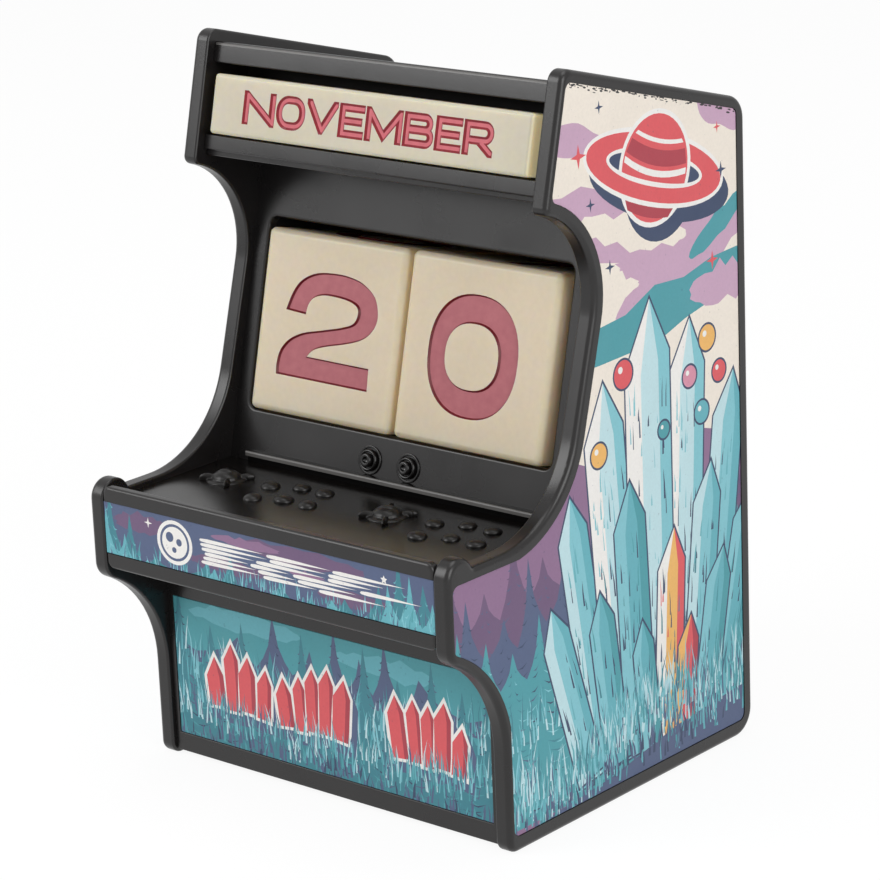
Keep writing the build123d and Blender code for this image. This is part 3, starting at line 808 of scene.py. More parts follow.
def stroked_glyph(strokes, width, height, weight, wall, bend, left, bottom):
    """A glyph of even strokes in its box, as its outline on the surface and the sunk one."""
    levels = []
    for inset in (0.0, wall):
        shape = [("box", [(left + inset, bottom + inset), (left + width - inset, bottom + inset),
                          (left + width - inset, bottom + height - inset),
                          (left + inset, bottom + height - inset)])]
        for corners in strokes:
            path = rounded_path([(left + weight / 2 + x * (width - weight),
                                  bottom + weight / 2 + y * (height - weight))
                                 for x, y in corners], bend)
            ends = [end_length(a, b, weight) - inset for a, b in (corners[:2], corners[:-3:-1])]
            shape.append(("solid", stroke(path, weight - 2 * inset, ends)))
        levels.append(shape)
    return tuple(levels)


def digit(name):
    """A digit's outline on the cube's surface and its sunk one."""
    if name == "2":
        edge = moved(smooth(TWO, TWO_CORNERS), *TWO_SHIFT)
        return [("solid", edge)], [("solid", grown(edge, -DIGIT_WALL))]
    if name == "0":
        levels = []
        for inset in (0.0, DIGIT_WALL):
            shape = []
            for kind, (x, y, rx, ry), grow, steps in (("solid", ZERO_OUTER, -inset, ZERO_STEPS[0]),
                                                      ("hole", ZERO_HOLE, inset, ZERO_STEPS[1])):
                shape.append((kind, ellipse(x, y, rx + grow, ry + grow, steps=steps, power=ZERO_POWER)))
            levels.append(shape)
        return tuple(levels)
    return stroked_glyph(STROKES[name], DIGIT_WIDTH, DIGIT_HEIGHT, DIGIT_STROKE, DIGIT_WALL, DIGIT_BEND,
                         -DIGIT_WIDTH / 2, -DIGIT_HEIGHT / 2 - DIGIT_DROP)


print("digits drawn as strokes:", "".join(STROKES))

# %% [markdown]
# ## Date cubes
#
# Two cubes can show every day from 01 to 31: both carry 0, 1 and 2, and an upturned 6 is
# the 9. The cubes stand in the leaning screen side by side, so each is built about its
# own middle and one matrix puts it in its place.

# %% Date cubes
CUBE, CUBE_GAP, CUBE_ROUND, CUBE_SEGMENTS, DIGIT_DEPTH = 34.2, 1.2, 1.2, 5, 0.42
CUBE_DIGITS = {"left": "234501", "right": "067812"}       # in the order of DIRECTIONS


def date_cube(side, direction):
    """One cube with its six digits, in its place in the screen."""
    place = LEANING @ Matrix.Translation((direction * (CUBE + CUBE_GAP) / 2, CUBE / 2, CUBE / 2))
    faces = {where: [digit(name)] for where, name in zip(DIRECTIONS, CUBE_DIGITS[side])}
    points, polygons, kinds = rounded_block((CUBE,) * 3, CUBE_ROUND, faces, DIGIT_DEPTH, CUBE_SEGMENTS)
    name = f"date_cube_{side}"
    piece = make_piece(f"{name}_engraved", name, points, polygons,
                       [ivory, rose_wall_painted_shade, rose_fill], name, kinds, place)
    soften(piece, (CUBE,) * 3, CUBE_ROUND, place)
    return piece


for side, direction in (("left", -1), ("right", 1)):
    cube = date_cube(side, direction)
    print(cube.name, len(cube.data.polygons), "faces")

# %% [markdown]
# ## Month bars
#
# Twelve months need three square bars with a month on each long face. The letters are
# wide, even strokes 1.5 mm across, so the same strokes that make the digits make them.
# One function sets a word: it places each letter's box after the last and asks for the
# strokes of that letter.

# %% Letters
LETTER_HEIGHT, LETTER_STROKE, LETTER_WALL, LETTER_GAP, LETTER_BEND = 6.15, 1.5, 0.42, 0.26, 2.1
LETTERS = {
    "A": (7.7, [((0, 0), (0.5, 1), (1, 0)), ((0.25, 0.3), (0.75, 0.3))]),
    "B": (7.0, [((0, 0), (0, 1)), ((0, 1), (0.94, 1), (0.94, 0.53), (0, 0.53)),
                ((0, 0.5), (1, 0.5), (1, 0), (0, 0))]),
    "C": (7.0, [((1, 0.76), (1, 1), (0, 1), (0, 0), (1, 0), (1, 0.24))]),
    "D": (7.2, [((0, 0), (0, 1)), ((0, 1), (1, 1), (1, 0), (0, 0))]),
    "E": (6.05, [((0, 0), (0, 1)), ((0, 1), (1, 1)), ((0, 0.5), (0.9, 0.5)), ((0, 0), (1, 0))]),
    "F": (6.0, [((0, 0), (0, 1)), ((0, 1), (1, 1)), ((0, 0.46), (0.9, 0.46))]),
    "G": (7.2, [((1, 0.76), (1, 1), (0, 1), (0, 0), (1, 0), (1, 0.46)), ((1, 0.46), (0.6, 0.46))]),
    "H": (7.2, [((0, 0), (0, 1)), ((1, 0), (1, 1)), ((0, 0.5), (1, 0.5))]),
    "I": (1.42, [((0.5, 0), (0.5, 1))]),
    "J": (6.0, [((1, 1), (1, 0), (0, 0), (0, 0.3))]),
    "L": (6.0, [((0, 0), (0, 1)), ((0, 0), (1, 0))]),
    "M": (8.6, [((0, 0), (0, 1), (0.5, 0.1), (1, 1), (1, 0))]),
    "N": (7.9, [((0, 0), (0, 1), (1, 0), (1, 1))]),
    "O": (7.05, [((0.5, 0), (0, 0), (0, 1), (0.5, 1)), ((0.5, 1), (1, 1), (1, 0), (0.5, 0))]),
    "P": (6.9, [((0, 0), (0, 1)), ((0, 1), (1, 1), (1, 0.4), (0, 0.4))]),
    "R": (6.8, [((0, 0), (0, 1)), ((0, 1), (1, 1), (1, 0.42), (0, 0.42)), ((0.5, 0.42), (1, 0))]),
    "S": (6.9, [((1, 0.76), (1, 1), (0, 1), (0, 0.52), (1, 0.52), (1, 0), (0, 0), (0, 0.24))]),
    "T": (6.8, [((0.5, 0), (0.5, 1)), ((0, 1), (1, 1))]),
    "U": (7.2, [((0, 1), (0, 0), (1, 0), (1, 1))]),
    "V": (7.5, [((0, 1), (0.5, 0), (1, 1))]),
    "Y": (7.2, [((0, 1), (0.5, 0.42), (1, 1)), ((0.5, 0.42), (0.5, 0))]),
}


def word(text):
    """The glyphs of a word, centred on a face of a month bar."""
    total = sum(LETTERS[c][0] for c in text) + LETTER_GAP * (len(text) - 1)
    left, glyphs = -total / 2, []
    for c in text:
        width, strokes = LETTERS[c]
        glyphs.append(stroked_glyph(strokes, width, LETTER_HEIGHT, LETTER_STROKE, LETTER_WALL, LETTER_BEND,
                                    left, -LETTER_HEIGHT / 2))
        left += width + LETTER_GAP
    return glyphs


print("NOVEMBER is", round(sum(LETTERS[c][0] + LETTER_GAP for c in "NOVEMBER") - LETTER_GAP, 1), "mm wide")

# %% [markdown]
# The bar in the marquee leans with the screen and shows its month to the front. The two
# spare bars lie level in the back and show theirs to whoever takes them out there.

# %% Month bars
BAR_SIZE, BAR_ROUND, BAR_SEGMENTS, LETTER_DEPTH = (74.6, 11.0, 11.0), 0.7, 4, 0.3
SHOWN_TO_FRONT, SHOWN_TO_BACK = ("front", "top", "back", "bottom"), ("back", "top", "front", "bottom")
BARS = {                         # months in turn from the face that shows, these faces, and the lean
    "month_bar_front": (("NOVEMBER", "DECEMBER", "SEPTEMBER", "OCTOBER"), SHOWN_TO_FRONT, -LEAN),
    "spare_month_bar_lower": (("JANUARY", "FEBRUARY", "MARCH", "APRIL"), SHOWN_TO_BACK, 0.0),
    "spare_month_bar_upper": (("MAY", "JUNE", "JULY", "AUGUST"), SHOWN_TO_BACK, 0.0),
}
for node, (months, shown, lean) in BARS.items():
    low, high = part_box(node)
    place = Matrix.Translation((low + high) / 2 / MM) @ Matrix.Rotation(lean, 4, "X")
    faces = {where: word(month) for where, month in zip(shown, months)}
    points, polygons, kinds = rounded_block(BAR_SIZE, BAR_ROUND, faces, LETTER_DEPTH, BAR_SEGMENTS)
    bar = make_piece(f"{node}_engraved", node, points, polygons,
                     [bar_ivory, letter_wall_painted_shade, bright_fill], node, kinds, place)
    soften(bar, BAR_SIZE, BAR_ROUND, place)
    print(bar.name, "shows", months[0], len(bar.data.polygons), "faces")

# %% [markdown]
# ## Printed labels
#
# Four printed sheets lie in shallow recesses: one on each side, one on the apron and one
# on the kick panel. An image texture would blur close up. A picture with flat inks is
# also a pile of closed outlines, each with its ink, where a later one covers an earlier
# one. Cutting the sheet along all of them gives triangles of one ink each, so the print
# stays sharp at any size. The ink is kept on the mesh and the finish reads it from there.

# %% Inks
INKS = {
    "cream": rgb(250, 240, 227), "white": rgb(250, 247, 243), "mauve": rgb(207, 170, 196),
    "lilac": rgb(146, 112, 146), "plum": rgb(112, 88, 122), "slate": rgb(84, 98, 132),
    "night": rgb(52, 68, 100), "pine": rgb(62, 134, 148), "teal": rgb(78, 160, 170),
    "sea": rgb(104, 182, 194), "aqua": rgb(136, 203, 214), "ice": rgb(200, 232, 238),
    "red": rgb(228, 92, 98), "brick": rgb(178, 62, 76), "rose": rgb(222, 150, 172),
    "orange": rgb(246, 190, 108), "worn": rgb(44, 42, 44),
}


def label_paper():
    """Satin print: each triangle's ink with a fine screen grain and a few specks of wear."""
    material, tree, shader = new_finish("printed label")
    ink = tree.nodes.new("ShaderNodeAttribute")
    ink.attribute_name = "ink"
    grain = ramp(tree, noise(tree, 0.55, 3.0), [(0.3, grey(0.95)), (0.7, grey(1.0))])
    drift = ramp(tree, noise(tree, 9.0, 3.0), [(0.3, grey(0.97)), (0.7, grey(1.0))])
    toned = mixed(tree, "MULTIPLY", 1.0, mixed(tree, "MULTIPLY", 1.0, ink.outputs["Color"], grain), drift)
    specks = ramp(tree, noise(tree, 0.75, 1.0), [(0.72, grey(0.0)), (0.78, grey(0.25))])
    tree.links.new(mixed(tree, "MIX", specks, toned, INKS["night"]), shader.inputs["Base Color"])
    gloss = ramp(tree, noise(tree, 5.0), [(0.3, grey(0.42)), (0.7, grey(0.52))])
    tree.links.new(gloss, shader.inputs["Roughness"])
    bump(tree, shader, noise(tree, 0.5, 2.0), 0.3, 0.01)
    return material


print_finish = label_paper()
print("inks:", ", ".join(INKS))

# %% [markdown]
# ## From a picture to a sheet
#
# The sheet's own edge is read from the CAD node, so the print always fits its recess. An
# edge of the sheet is one that only one triangle has. The face is cut along the picture's
# outlines, then a back and a rim close it to a thin solid.

# %% Printed sheets
SHEET_THICKNESS, ON_FACE = 0.2, 1e-6      # in millimetres; in metres


def rim_edges(corner_lists):
    """The edges that only one face has, from start to end, with the number of that face."""
    rim = {}
    for number, corners in enumerate(corner_lists):
        for start, end in zip(corners, corners[1:] + corners[:1]):
            if (end, start) in rim:
                del rim[end, start]
            else:
                rim[start, end] = number
    return rim


def sheet_edge(node, normal, right):
    """The edge of a sheet's outer face as an outline, and how far out that face lies."""
    mesh, up = nodes[node].data, normal.cross(right)
    far = max(v.co.dot(normal) for v in mesh.vertices)
    outer = []
    for polygon in mesh.polygons:
        corners = [mesh.vertices[i].co for i in polygon.vertices]
        if min(c.dot(normal) for c in corners) > far - ON_FACE:
            outer.append([(round(c.dot(right) / MM, 3), round(c.dot(up) / MM, 3)) for c in corners])
    return closed_loop(rim_edges(outer)), far / MM


def printed_sheet(node, normal, right, picture):
    """Replace a label node by the same sheet, cut along the outlines of its picture."""
    normal, right = Vector(normal), Vector(right)
    up = normal.cross(right)
    edge, far = sheet_edge(node, normal, right)
    points, triangles, holders = divide([edge] + [outline for _, outline in picture])
    inks = [picture[0][0]] + [ink for ink, _ in picture]
    in_sheet = [(t, INKS[inks[max(around)]]) for t, around in zip(triangles, holders) if 0 in around]
    kept = sorted({i for triangle, _ in in_sheet for i in triangle})
    number = {old: new for new, old in enumerate(kept)}
    faces = [tuple(number[i] for i in triangle) for triangle, _ in in_sheet]
    colours = [colour for _, colour in in_sheet]
    rim = rim_edges(faces)
    loop = closed_loop(rim)
    solid = [tuple(right * points[i].x + up * points[i].y + normal * far) for i in kept]
    solid += [tuple(Vector(solid[i]) - normal * SHEET_THICKNESS) for i in loop]
    below = {front: len(kept) + k for k, front in enumerate(loop)}
    polygons = faces + [tuple(below[i] for i in loop[::-1])]
    polygons += [(end, start, below[start], below[end]) for start, end in rim]
    colours += [INKS[inks[0]]] + [colours[face] for face in rim.values()]
    sheet = make_piece(f"{node}_print", "cabinet", solid, polygons, [print_finish], node)
    ink = sheet.data.color_attributes.new("ink", "FLOAT_COLOR", "CORNER")
    values = [c for polygon in sheet.data.polygons for _ in polygon.vertices for c in colours[polygon.index]]
    ink.data.foreach_set("color", values)
    print(sheet.name, len(faces), "triangles on its face")


print("a sheet is", SHEET_THICKNESS, "mm thick")

# %% [markdown]
# ## Motifs
#
# The prints share one made-up landscape: pale sky, drifting clouds, a ringed planet,
# mossy spires, tall crystals and reeds. Drawing each thing by hand would take thousands
# of points. Instead each motif is a small function that gives its inks and outlines, so
# it can be set at any place and size, and a fixed seed varies what repeats.

# %% Small motifs


def star(x, y, size, ink, tips=4, waist=0.28):
    """A star with thin tips."""
    outline = []
    for i in range(2 * tips):
        r = size if i % 2 == 0 else size * waist
        a = math.pi * i / tips + math.pi / 2
        outline.append((x + r * math.cos(a), y + r * math.sin(a)))
    return [(ink, outline)]


def blade(x, y, tall, bend, half, lean):
    """A thin pointed stroke that stands at a place, leans, and bends over at its tip."""
    middle, tip = lean * tall * 0.5 + bend * tall * 0.2, lean * tall + bend * tall
    return [(x - half, y), (x + half, y), (x + half * 0.8 + middle, y + tall * 0.5), (x + tip, y + tall),
            (x - half * 0.8 + middle, y + tall * 0.5)]


def reeds(seed, left, right, foot, height, count, inks, width):
    """Thin bent blades in a row; foot gives the height of the ground at a place."""
    chance, layers = random.Random(seed), []
    for _ in range(count):
        x = chance.uniform(left, right)
        y = foot(x) + chance.uniform(-0.15, 0.55) * height
        outline = blade(x, y, height * chance.uniform(0.35, 0.85), chance.uniform(-0.22, 0.22),
                        width * chance.uniform(0.3, 0.7), chance.uniform(-0.12, 0.12))
        layers.append((chance.choice(inks), outline))
    return layers


def cloud(ink, x, y, half, thick, seed, slope, rough):
    """A long drifting cloud: a soft lens with a wavy edge, torn where rough is over zero."""
    chance, points = random.Random(seed), []
    count = 26 if rough else 14
    for i in range(count):
        a = 2 * math.pi * i / count
        wave = chance.uniform(0.72, 1.15) + rough * (i % 2 - 0.5)
        u = half * math.cos(a) + rough * chance.uniform(-2, 2)
        points.append((x + u, y + thick * wave * math.sin(a) + slope * u))
    return [(ink, points if rough else smooth(points, (0, 7), 3))]


def bubble(x, y, radius, ink):
    """A ball with a dark line round it and a glint."""
    edge, glint = radius + 0.4, 0.25 * radius
    return [("night", ellipse(x, y, edge, edge)), (ink, ellipse(x, y, radius, radius)),
            ("white", ellipse(x - 0.3 * radius, y + 0.35 * radius, glint, glint))]


print("a bubble has", len(bubble(0, 0, 1, "red")), "outlines")

# %% [markdown]
# Crystals and spires are the large forms. A crystal is a flat prism in four tones: its
# line, a light side, the middle and a dark side. A spire's flanks are hollow, like a
# fir's, and short drooping strokes cover them.

# %% Crystals and spires
CRYSTAL_TIP = 0.8                # a crystal's point is this share of its width high
AREA_PER_MARK = 14               # square millimetres of crystal for each small mark
FLANK = ((0.14, 0.55), (0.3, 0.8))        # points on a spire's flank, as shares of the way and the drop


def crystal(x, y, width, height, lean, inks, outline_width=0.4, marks=None):
    """A prism with a pointed end: line, light side, middle and dark side, then small marks."""
    line, light, mid, dark = inks
    top = height - width * CRYSTAL_TIP

    def corner(across, along):
        return (x + across * width / 2 + math.sin(lean) * along,
                y + math.cos(lean) * along - across * math.sin(lean) * width / 2)

    whole = [corner(-1, 0), corner(1, 0), corner(1, top), corner(0.15, height),
             corner(-1, top - width * 0.12)]
    layers = [
        (line, grown(whole, outline_width)), (mid, whole),
        (light, [corner(-1, 0), corner(-0.3, 0), corner(-0.3, top - width * 0.25), corner(0.15, height),
                 corner(-1, top - width * 0.12)]),
        (dark, [corner(0.5, 0), corner(1, 0), corner(1, top), corner(0.15, height),
                corner(0.5, top - width * 0.1)]),
    ]
    if marks is not None:
        chance = random.Random(marks)
        for _ in range(int(height * width / AREA_PER_MARK)):
            across, along = chance.uniform(-0.85, 0.85), chance.uniform(0.02, 0.88) * top
            px, py = corner(across, along)
            ink = chance.choice((line, line, dark, "pine") if along < 34 else (dark, "aqua", line))
            layers.append((ink, blade(px, py, chance.uniform(1.5, 6.0), chance.uniform(-0.1, 0.1),
                                      chance.uniform(0.1, 0.24), lean)))
    return layers


def spires(seed, ink, floor, dip, marks, peaks):
    """Mossy spires: each peak is (x, height), with hollow flanks and drooping strokes on them."""
    chance, outline, layers = random.Random(seed), [(peaks[0][0], floor)], []
    for (x, top), (next_x, next_top) in zip(peaks, peaks[1:]):
        low = floor + (min(top, next_top) - floor) * dip
        gap = next_x - x
        outline += [(x, top)] + [(x + way * gap, top - drop * (top - low)) for way, drop in FLANK]
        outline += [((x + next_x) / 2, low)]
        outline += [(next_x - way * gap, next_top - drop * (next_top - low)) for way, drop in FLANK[::-1]]
    layers.append((ink, outline + [peaks[-1], (peaks[-1][0], floor)]))
    for x, top in peaks[1:-1]:
        for level in range(1, int((top - floor) / 2.0)):
            for side in (-1, 1):
                reach = (0.5 + 0.42 * level) * chance.uniform(0.7, 1.15)
                y = top - 1.2 - 1.9 * level + chance.uniform(-0.4, 0.4)
                start, end = x + side * reach * 0.25, x + side * reach
                layers.append((chance.choice(marks), [
                    (start, y), ((start + end) / 2, y - 0.95), (end, y - 0.75),
                    ((start + end) / 2, y - 0.62)]))
    return layers


print("a crystal has", len(crystal(0, 0, 5, 20, 0, ("night", "white", "ice", "aqua"))), "outlines")

# %% [markdown]
# The planet is a banded globe in a flat ring. The ring passes behind the globe and in
# front of it, so it is drawn in two halves with the globe between them.

# %% Ringed planet
RING_OUTER, RING_INNER = (2.1, 0.62), (1.5, 0.34)         # radii as shares of the globe's
GLOBE_BANDS = ((-0.75, -0.5, "brick"), (0.0, 0.12, "white"), (0.2, 0.5, "brick"), (0.62, 0.7, "white"))
PLANET_SHADOW = (0.16, -0.3)


def ringed_planet(x, y, radius, tilt):
    """A banded globe in a flat ring, with a pale edge and a hard shadow down and right."""
    def tilted(u, v):
        return x + u * math.cos(tilt) - v * math.sin(tilt), y + u * math.sin(tilt) + v * math.cos(tilt)

    def ring(grow, front):
        start, count = (math.pi if front else 0.0), 22
        outer, inner = [], []
        for i in range(count + 1):
            a = start + math.pi * i / count
            for run, (rx, ry), grows in ((outer, RING_OUTER, grow), (inner, RING_INNER, -grow)):
                run.append(tilted((rx * radius + grows) * math.cos(a), (ry * radius + grows) * math.sin(a)))
        return outer + inner[::-1]

    edge, shift = 0.09 * radius, [share * radius for share in PLANET_SHADOW]
    globe = ellipse(x, y, radius, radius, steps=40)
    layers = [("night", moved(shape, *shift)) for shape in (ring(edge, False), ring(edge, True),
                                                            grown(globe, edge))]
    layers += [("white", ring(edge, False)), ("red", ring(0, False)), ("white", grown(globe, edge)),
               ("red", globe)]
    for low, high, ink in GLOBE_BANDS:
        band = []
        for level, run in ((low, 1), (high, -1)):
            half = math.sqrt(1 - level * level) * 0.999 * radius
            for k in range(9)[::run]:
                u = -half + 2 * half * k / 8
                v = level * radius - 0.16 * radius * (1 - (u / radius) ** 2)
                band.append(tilted(0.96 * u, v))
        layers.append((ink, band))
    return layers + [("white", ring(edge, True)), ("red", ring(0, True))]


print("a planet has", len(ringed_planet(0, 0, 1, 0)), "outlines")

# %% [markdown]
# ## Side print
#
# The sky takes the upper half with the red planet in it. Pale crystals stand up from the
# ground in the middle, in front of mossy spires, and reeds cover the foot. Places and
# sizes stand in tables, from the back of the picture to its front, so that a motif is
# moved by changing one row. The left side carries the same picture turned over.

# %% Side print tables
PALES, BLUES = ("night", "white", "ice", "aqua"), ("night", "ice", "aqua", "sea")
DEEPS, EMBER = ("night", "aqua", "sea", "teal"), ("night", "white", "orange", "red")
SIDE_CLOUDS = (                  # ink, x, y, half length, thickness, seed, slope, roughness
    ("mauve", 10, 105, 26, 7.5, 3, -0.22, 0.25), ("cream", 10, 104, 15, 3.4, 5, -0.25, 0.3),
    ("mauve", 26, 96, 22, 5.0, 8, 0.3, 0.3), ("mauve", -7, 123, 10, 3.0, 9, -0.2, 0.0),
    ("mauve", 38, 122, 9, 5.5, 11, -0.25, 0.0), ("mauve", 12, 97, 7, 2.6, 12, -0.3, 0.4),
    ("teal", 20, 88.5, 36, 4.6, 13, 0.14, 0.12), ("teal", 36, 101, 10, 2.6, 23, 0.5, 0.1),
    ("mauve", 36, 89, 10, 4.0, 17, 0.0, 0.3), ("cream", -2, 93, 13, 1.5, 19, 0.1, 0.2),
)
SIDE_STARS = (
    (-5, 120, 2.2, "red"), (1, 127.5, 1.2, "night"), (36, 110, 1.6, "night"), (35, 118, 1.1, "red"),
    (-2, 111, 1.3, "night"), (3, 99, 1.4, "night"), (33, 94, 1.8, "red"), (28, 104, 1.0, "night"),
)
SIDE_HILLS = [(-50, 0), (-50, 70), (-26, 64), (-12, 68), (4, 61), (20, 66), (34, 62), (50, 68), (50, 0)]
SIDE_SPIRES = (                  # seed, ink, floor, dip between peaks, inks of the strokes, peaks
    (51, "plum", 20, 0.8, ("plum", "slate"),
     [(-50, 48), (-43, 58), (-34, 50), (-26, 60), (-18, 52), (-9, 61), (0, 50), (28, 52), (34, 62), (41, 54),
      (50, 60)]),
    (52, "slate", 12, 0.8, ("night", "slate", "night"),
     [(-50, 40), (-39, 50), (-29, 44), (-22, 53), (-13, 47), (-6, 52), (4, 42), (30, 50), (37, 55),
      (50, 46)]),
    (53, "teal", 4, 0.82, ("pine", "slate", "aqua", "pine", "night"),
     [(-50, 36), (-41.5, 45), (-34, 41), (-27, 37), (-19.5, 42), (-12, 36), (-4, 40), (6, 30), (28, 38),
      (33, 44), (39, 49), (50, 40)]),
)
SIDE_CRYSTALS = (                # x, width, height, lean, inks; a later one stands in front
    (29, 9, 66, 0.14, BLUES), (-2, 8, 54, -0.16, BLUES), (21, 11, 78, 0.05, PALES),
    (5, 11, 72, -0.08, PALES), (13, 13, 84, 0.0, PALES), (33, 8, 44, 0.26, DEEPS),
    (-6, 7, 36, -0.30, BLUES), (25, 8, 50, 0.12, BLUES), (9, 9, 52, -0.05, DEEPS),
    (17, 8, 40, 0.06, EMBER), (2, 7, 34, -0.14, DEEPS), (28, 7, 33, 0.2, DEEPS),
    (12, 6, 25, -0.1, DEEPS), (22, 6, 22, 0.1, ("night", "orange", "red", "brick")),
)
SIDE_BUBBLES = (
    (31, 80, 2.4, "orange"), (25.5, 74, 2.0, "rose"), (34.5, 73, 2.0, "red"), (6, 79, 2.6, "red"),
    (29, 66.5, 2.1, "sea"), (-1.5, 66, 2.2, "orange"), (17.5, 66, 1.6, "teal"),
)


def side_ground(x):
    """The height of the ground on the side print, in soft waves that rise to the back."""
    return 9 + 2.2 * math.sin(x / 7) + 0.1 * x


SIDE_FAR_REEDS = (2, -42, 42, lambda x: 19, 9, 180, ("teal", "pine", "aqua", "sea", "ice"), 0.4)
SIDE_REEDS = (                   # seed, left, right, foot, height, number, inks, width
    (4, -40, 42, side_ground, 10.5, 480,
     ("teal", "aqua", "ice", "sea", "sea", "ice", "pine", "slate"), 0.42),
    (5, -34, 42, lambda x: side_ground(x) - 3, 9, 280, ("aqua", "ice", "sea", "teal", "slate"), 0.4),
    (6, -34, 42, lambda x: 2.5 + 0.04 * (x + 30), 6, 180, ("slate", "slate", "night", "teal", "sea"), 0.5),
)


print("side print:", len(SIDE_CRYSTALS), "crystals and", sum(row[5] for row in SIDE_REEDS), "reeds")

# %% [markdown]
# The picture is built from the back to the front. Last come the dark chips where the
# upper edge of the sheet has rubbed on its recess.

# %% Side print
CRYSTAL_FOOT, FIRST_MARK_SEED = 7, 60
SIDE_EDGE_HEIGHT, SIDE_EDGE_SLOPE = 133.6, -0.268         # the sheet's upper edge, from its left end


def backdrop(ink, bottom, top):
    """One ink over the whole width, well past the edges of any sheet."""
    return [(ink, [(-60, bottom), (60, bottom), (60, top), (-60, top)])]


def drawn(motif, rows):
    """The outlines of one motif for each row of its table."""
    return [layer for row in rows for layer in motif(*row)]


def worn_chips(seed, count, left, right, edge_height, edge_slope):
    """Small dark chips where the sheet has rubbed along its sloping upper edge."""
    chance, layers = random.Random(seed), []
    for _ in range(count):
        x = chance.uniform(left, right)
        y = edge_height + (x - left) * edge_slope - abs(chance.gauss(0, 0.35))
        chip = ellipse(x, y, chance.uniform(0.12, 0.7), chance.uniform(0.08, 0.2), edge_slope, 6)
        layers.append(("worn", chip))
    return layers


def side_picture():
    """The side print from its back to its front."""
    picture = backdrop("cream", 40, 150) + drawn(cloud, SIDE_CLOUDS)
    picture += ringed_planet(16.5, 114, 9.6, math.radians(-17)) + drawn(star, SIDE_STARS)
    picture += [("lilac", SIDE_HILLS)] + drawn(spires, SIDE_SPIRES) + reeds(*SIDE_FAR_REEDS)
    for k, (x, width, height, lean, inks) in enumerate(SIDE_CRYSTALS):
        picture += crystal(x, CRYSTAL_FOOT, width, height, lean, inks, marks=FIRST_MARK_SEED + k)
    picture += drawn(bubble, SIDE_BUBBLES)
    bank = [(60, side_ground(45) - 2), (20, side_ground(20) - 3), (0, side_ground(0) - 4),
            (-20, side_ground(-20) - 3), (-60, side_ground(-50) - 3)]
    picture += [("slate", [(-60, -10), (60, -10)] + bank)] + drawn(reeds, SIDE_REEDS)
    return picture + worn_chips(9, 90, -9, 42, SIDE_EDGE_HEIGHT, SIDE_EDGE_SLOPE)


side_print = side_picture()
turned_over = [(ink, [(-x, y) for x, y in outline]) for ink, outline in side_print]
printed_sheet("side_label_right", (1, 0, 0), (0, 1, 0), side_print)
printed_sheet("side_label_left", (-1, 0, 0), (0, -1, 0), turned_over)

# %% [markdown]
# ## Apron and kick panel prints
#
# The narrow apron shows a white comet with its long streaks over mossy spires. The kick
# panel shows three clumps of red crystals with pale edges and hard shadows, and reeds
# before and behind them. Both use the same motifs as the sides, and each has one of its
# own.

# %% Apron print
COMET_ROWS, COMET_ROW_PITCH, COMET_LENGTH = 6, 0.82, 45.7
CRATERS = ((-1.2, 0.9, 0.95), (1.1, 0.2, 0.7), (-0.2, -1.4, 0.55))        # across, up, radius


def streak(x, y, length, thick, slope):
    """A streak with a round head at its left and a long thin tail."""
    shape = [(0, 0.0), (0.02, 0.7), (0.12, 1.0), (0.45, 0.8), (1, 0.0), (0.45, -0.8), (0.12, -1.0),
             (0.02, -0.7)]
    return [(x + u * length, y + v * thick / 2 + slope * u * length) for u, v in shape]


APRON_CLOUDS = (
    ("plum", 8, 52.5, 16, 1.7, 31, 0, 0.2), ("lilac", -4, 52.6, 8, 0.9, 32, 0, 0.3),
    ("plum", -30, 51.5, 7, 2.0, 33, 0, 0.3), ("plum", 22, 47, 9, 1.5, 35, 0, 0.2),
    ("lilac", 10, 49.5, 4, 0.7, 36, 0, 0.3), ("plum", -9, 47.5, 10, 1.3, 37, 0, 0.2),
)
APRON_SPIRES = (
    (54, "pine", 43, 0.3, ("slate", "sea"),
     [(-44, 52), (-38, 57), (-33, 53), (-27, 46), (-14, 47), (-8, 50), (-3, 45), (4, 47.5), (11, 45.5),
      (19, 47), (27, 51), (31.5, 58), (37, 53), (44, 56)]),
    (55, "sea", 43, 0.3, ("slate", "aqua", "pine"),
     [(-44, 50), (-39, 53.5), (-34.5, 49), (-29, 45), (-22, 44.5), (-12, 46.5), (-6, 44.4), (3, 46),
      (9, 44.4), (16, 46.3), (24, 45), (29, 51.5), (34, 54), (39, 50), (44, 53)]),
)


def comet(x, y, radius):
    """A pale ringed head with three craters, and rows of streaks behind it."""
    chance, layers = random.Random(21), []
    for row in range(COMET_ROWS):
        height, across = y - 2.3 + COMET_ROW_PITCH * row, x + 6.2 + chance.uniform(0.0, 1.5)
        while across < x + COMET_LENGTH - 1.6 * abs(row - 2.5):
            length = chance.uniform(9, 17)
            layers.append(("white", streak(across, height, length, 0.74, 0.012)))
            across += length + chance.uniform(0.2, 0.8)
    for share, ink in ((1.0, "white"), (0.83, "slate"), (0.71, "white")):
        layers.append((ink, ellipse(x, y, share * radius * 1.05, share * radius, steps=30)))
    for right, up, size in CRATERS:
        layers.append(("slate", ellipse(x + right, y + up, size, size, steps=14)))
    return layers


def apron_picture():
    """The apron print from its back to its front."""
    picture = backdrop("slate", 30, 70) + drawn(cloud, APRON_CLOUDS) + drawn(spires, APRON_SPIRES)
    picture += reeds(12, -40, 40, lambda x: 43.6, 4.2, 200, ("aqua", "teal", "slate", "sea"), 0.26)
    picture += comet(-21.7, 49.6, 4.2)
    return picture + star(-28.2, 52.2, 1.0, "white") + star(28.3, 52.3, 0.8, "white", 5, 0.5)


printed_sheet("apron_label", (0, -1, 0), (1, 0, 0), apron_picture())

# %% [markdown]
# The red crystals on the kick panel stand in clumps that splay like a fan. One pass draws
# the shadow of all of them and one their pale edge, so no crystal's edge cuts across its
# neighbour.

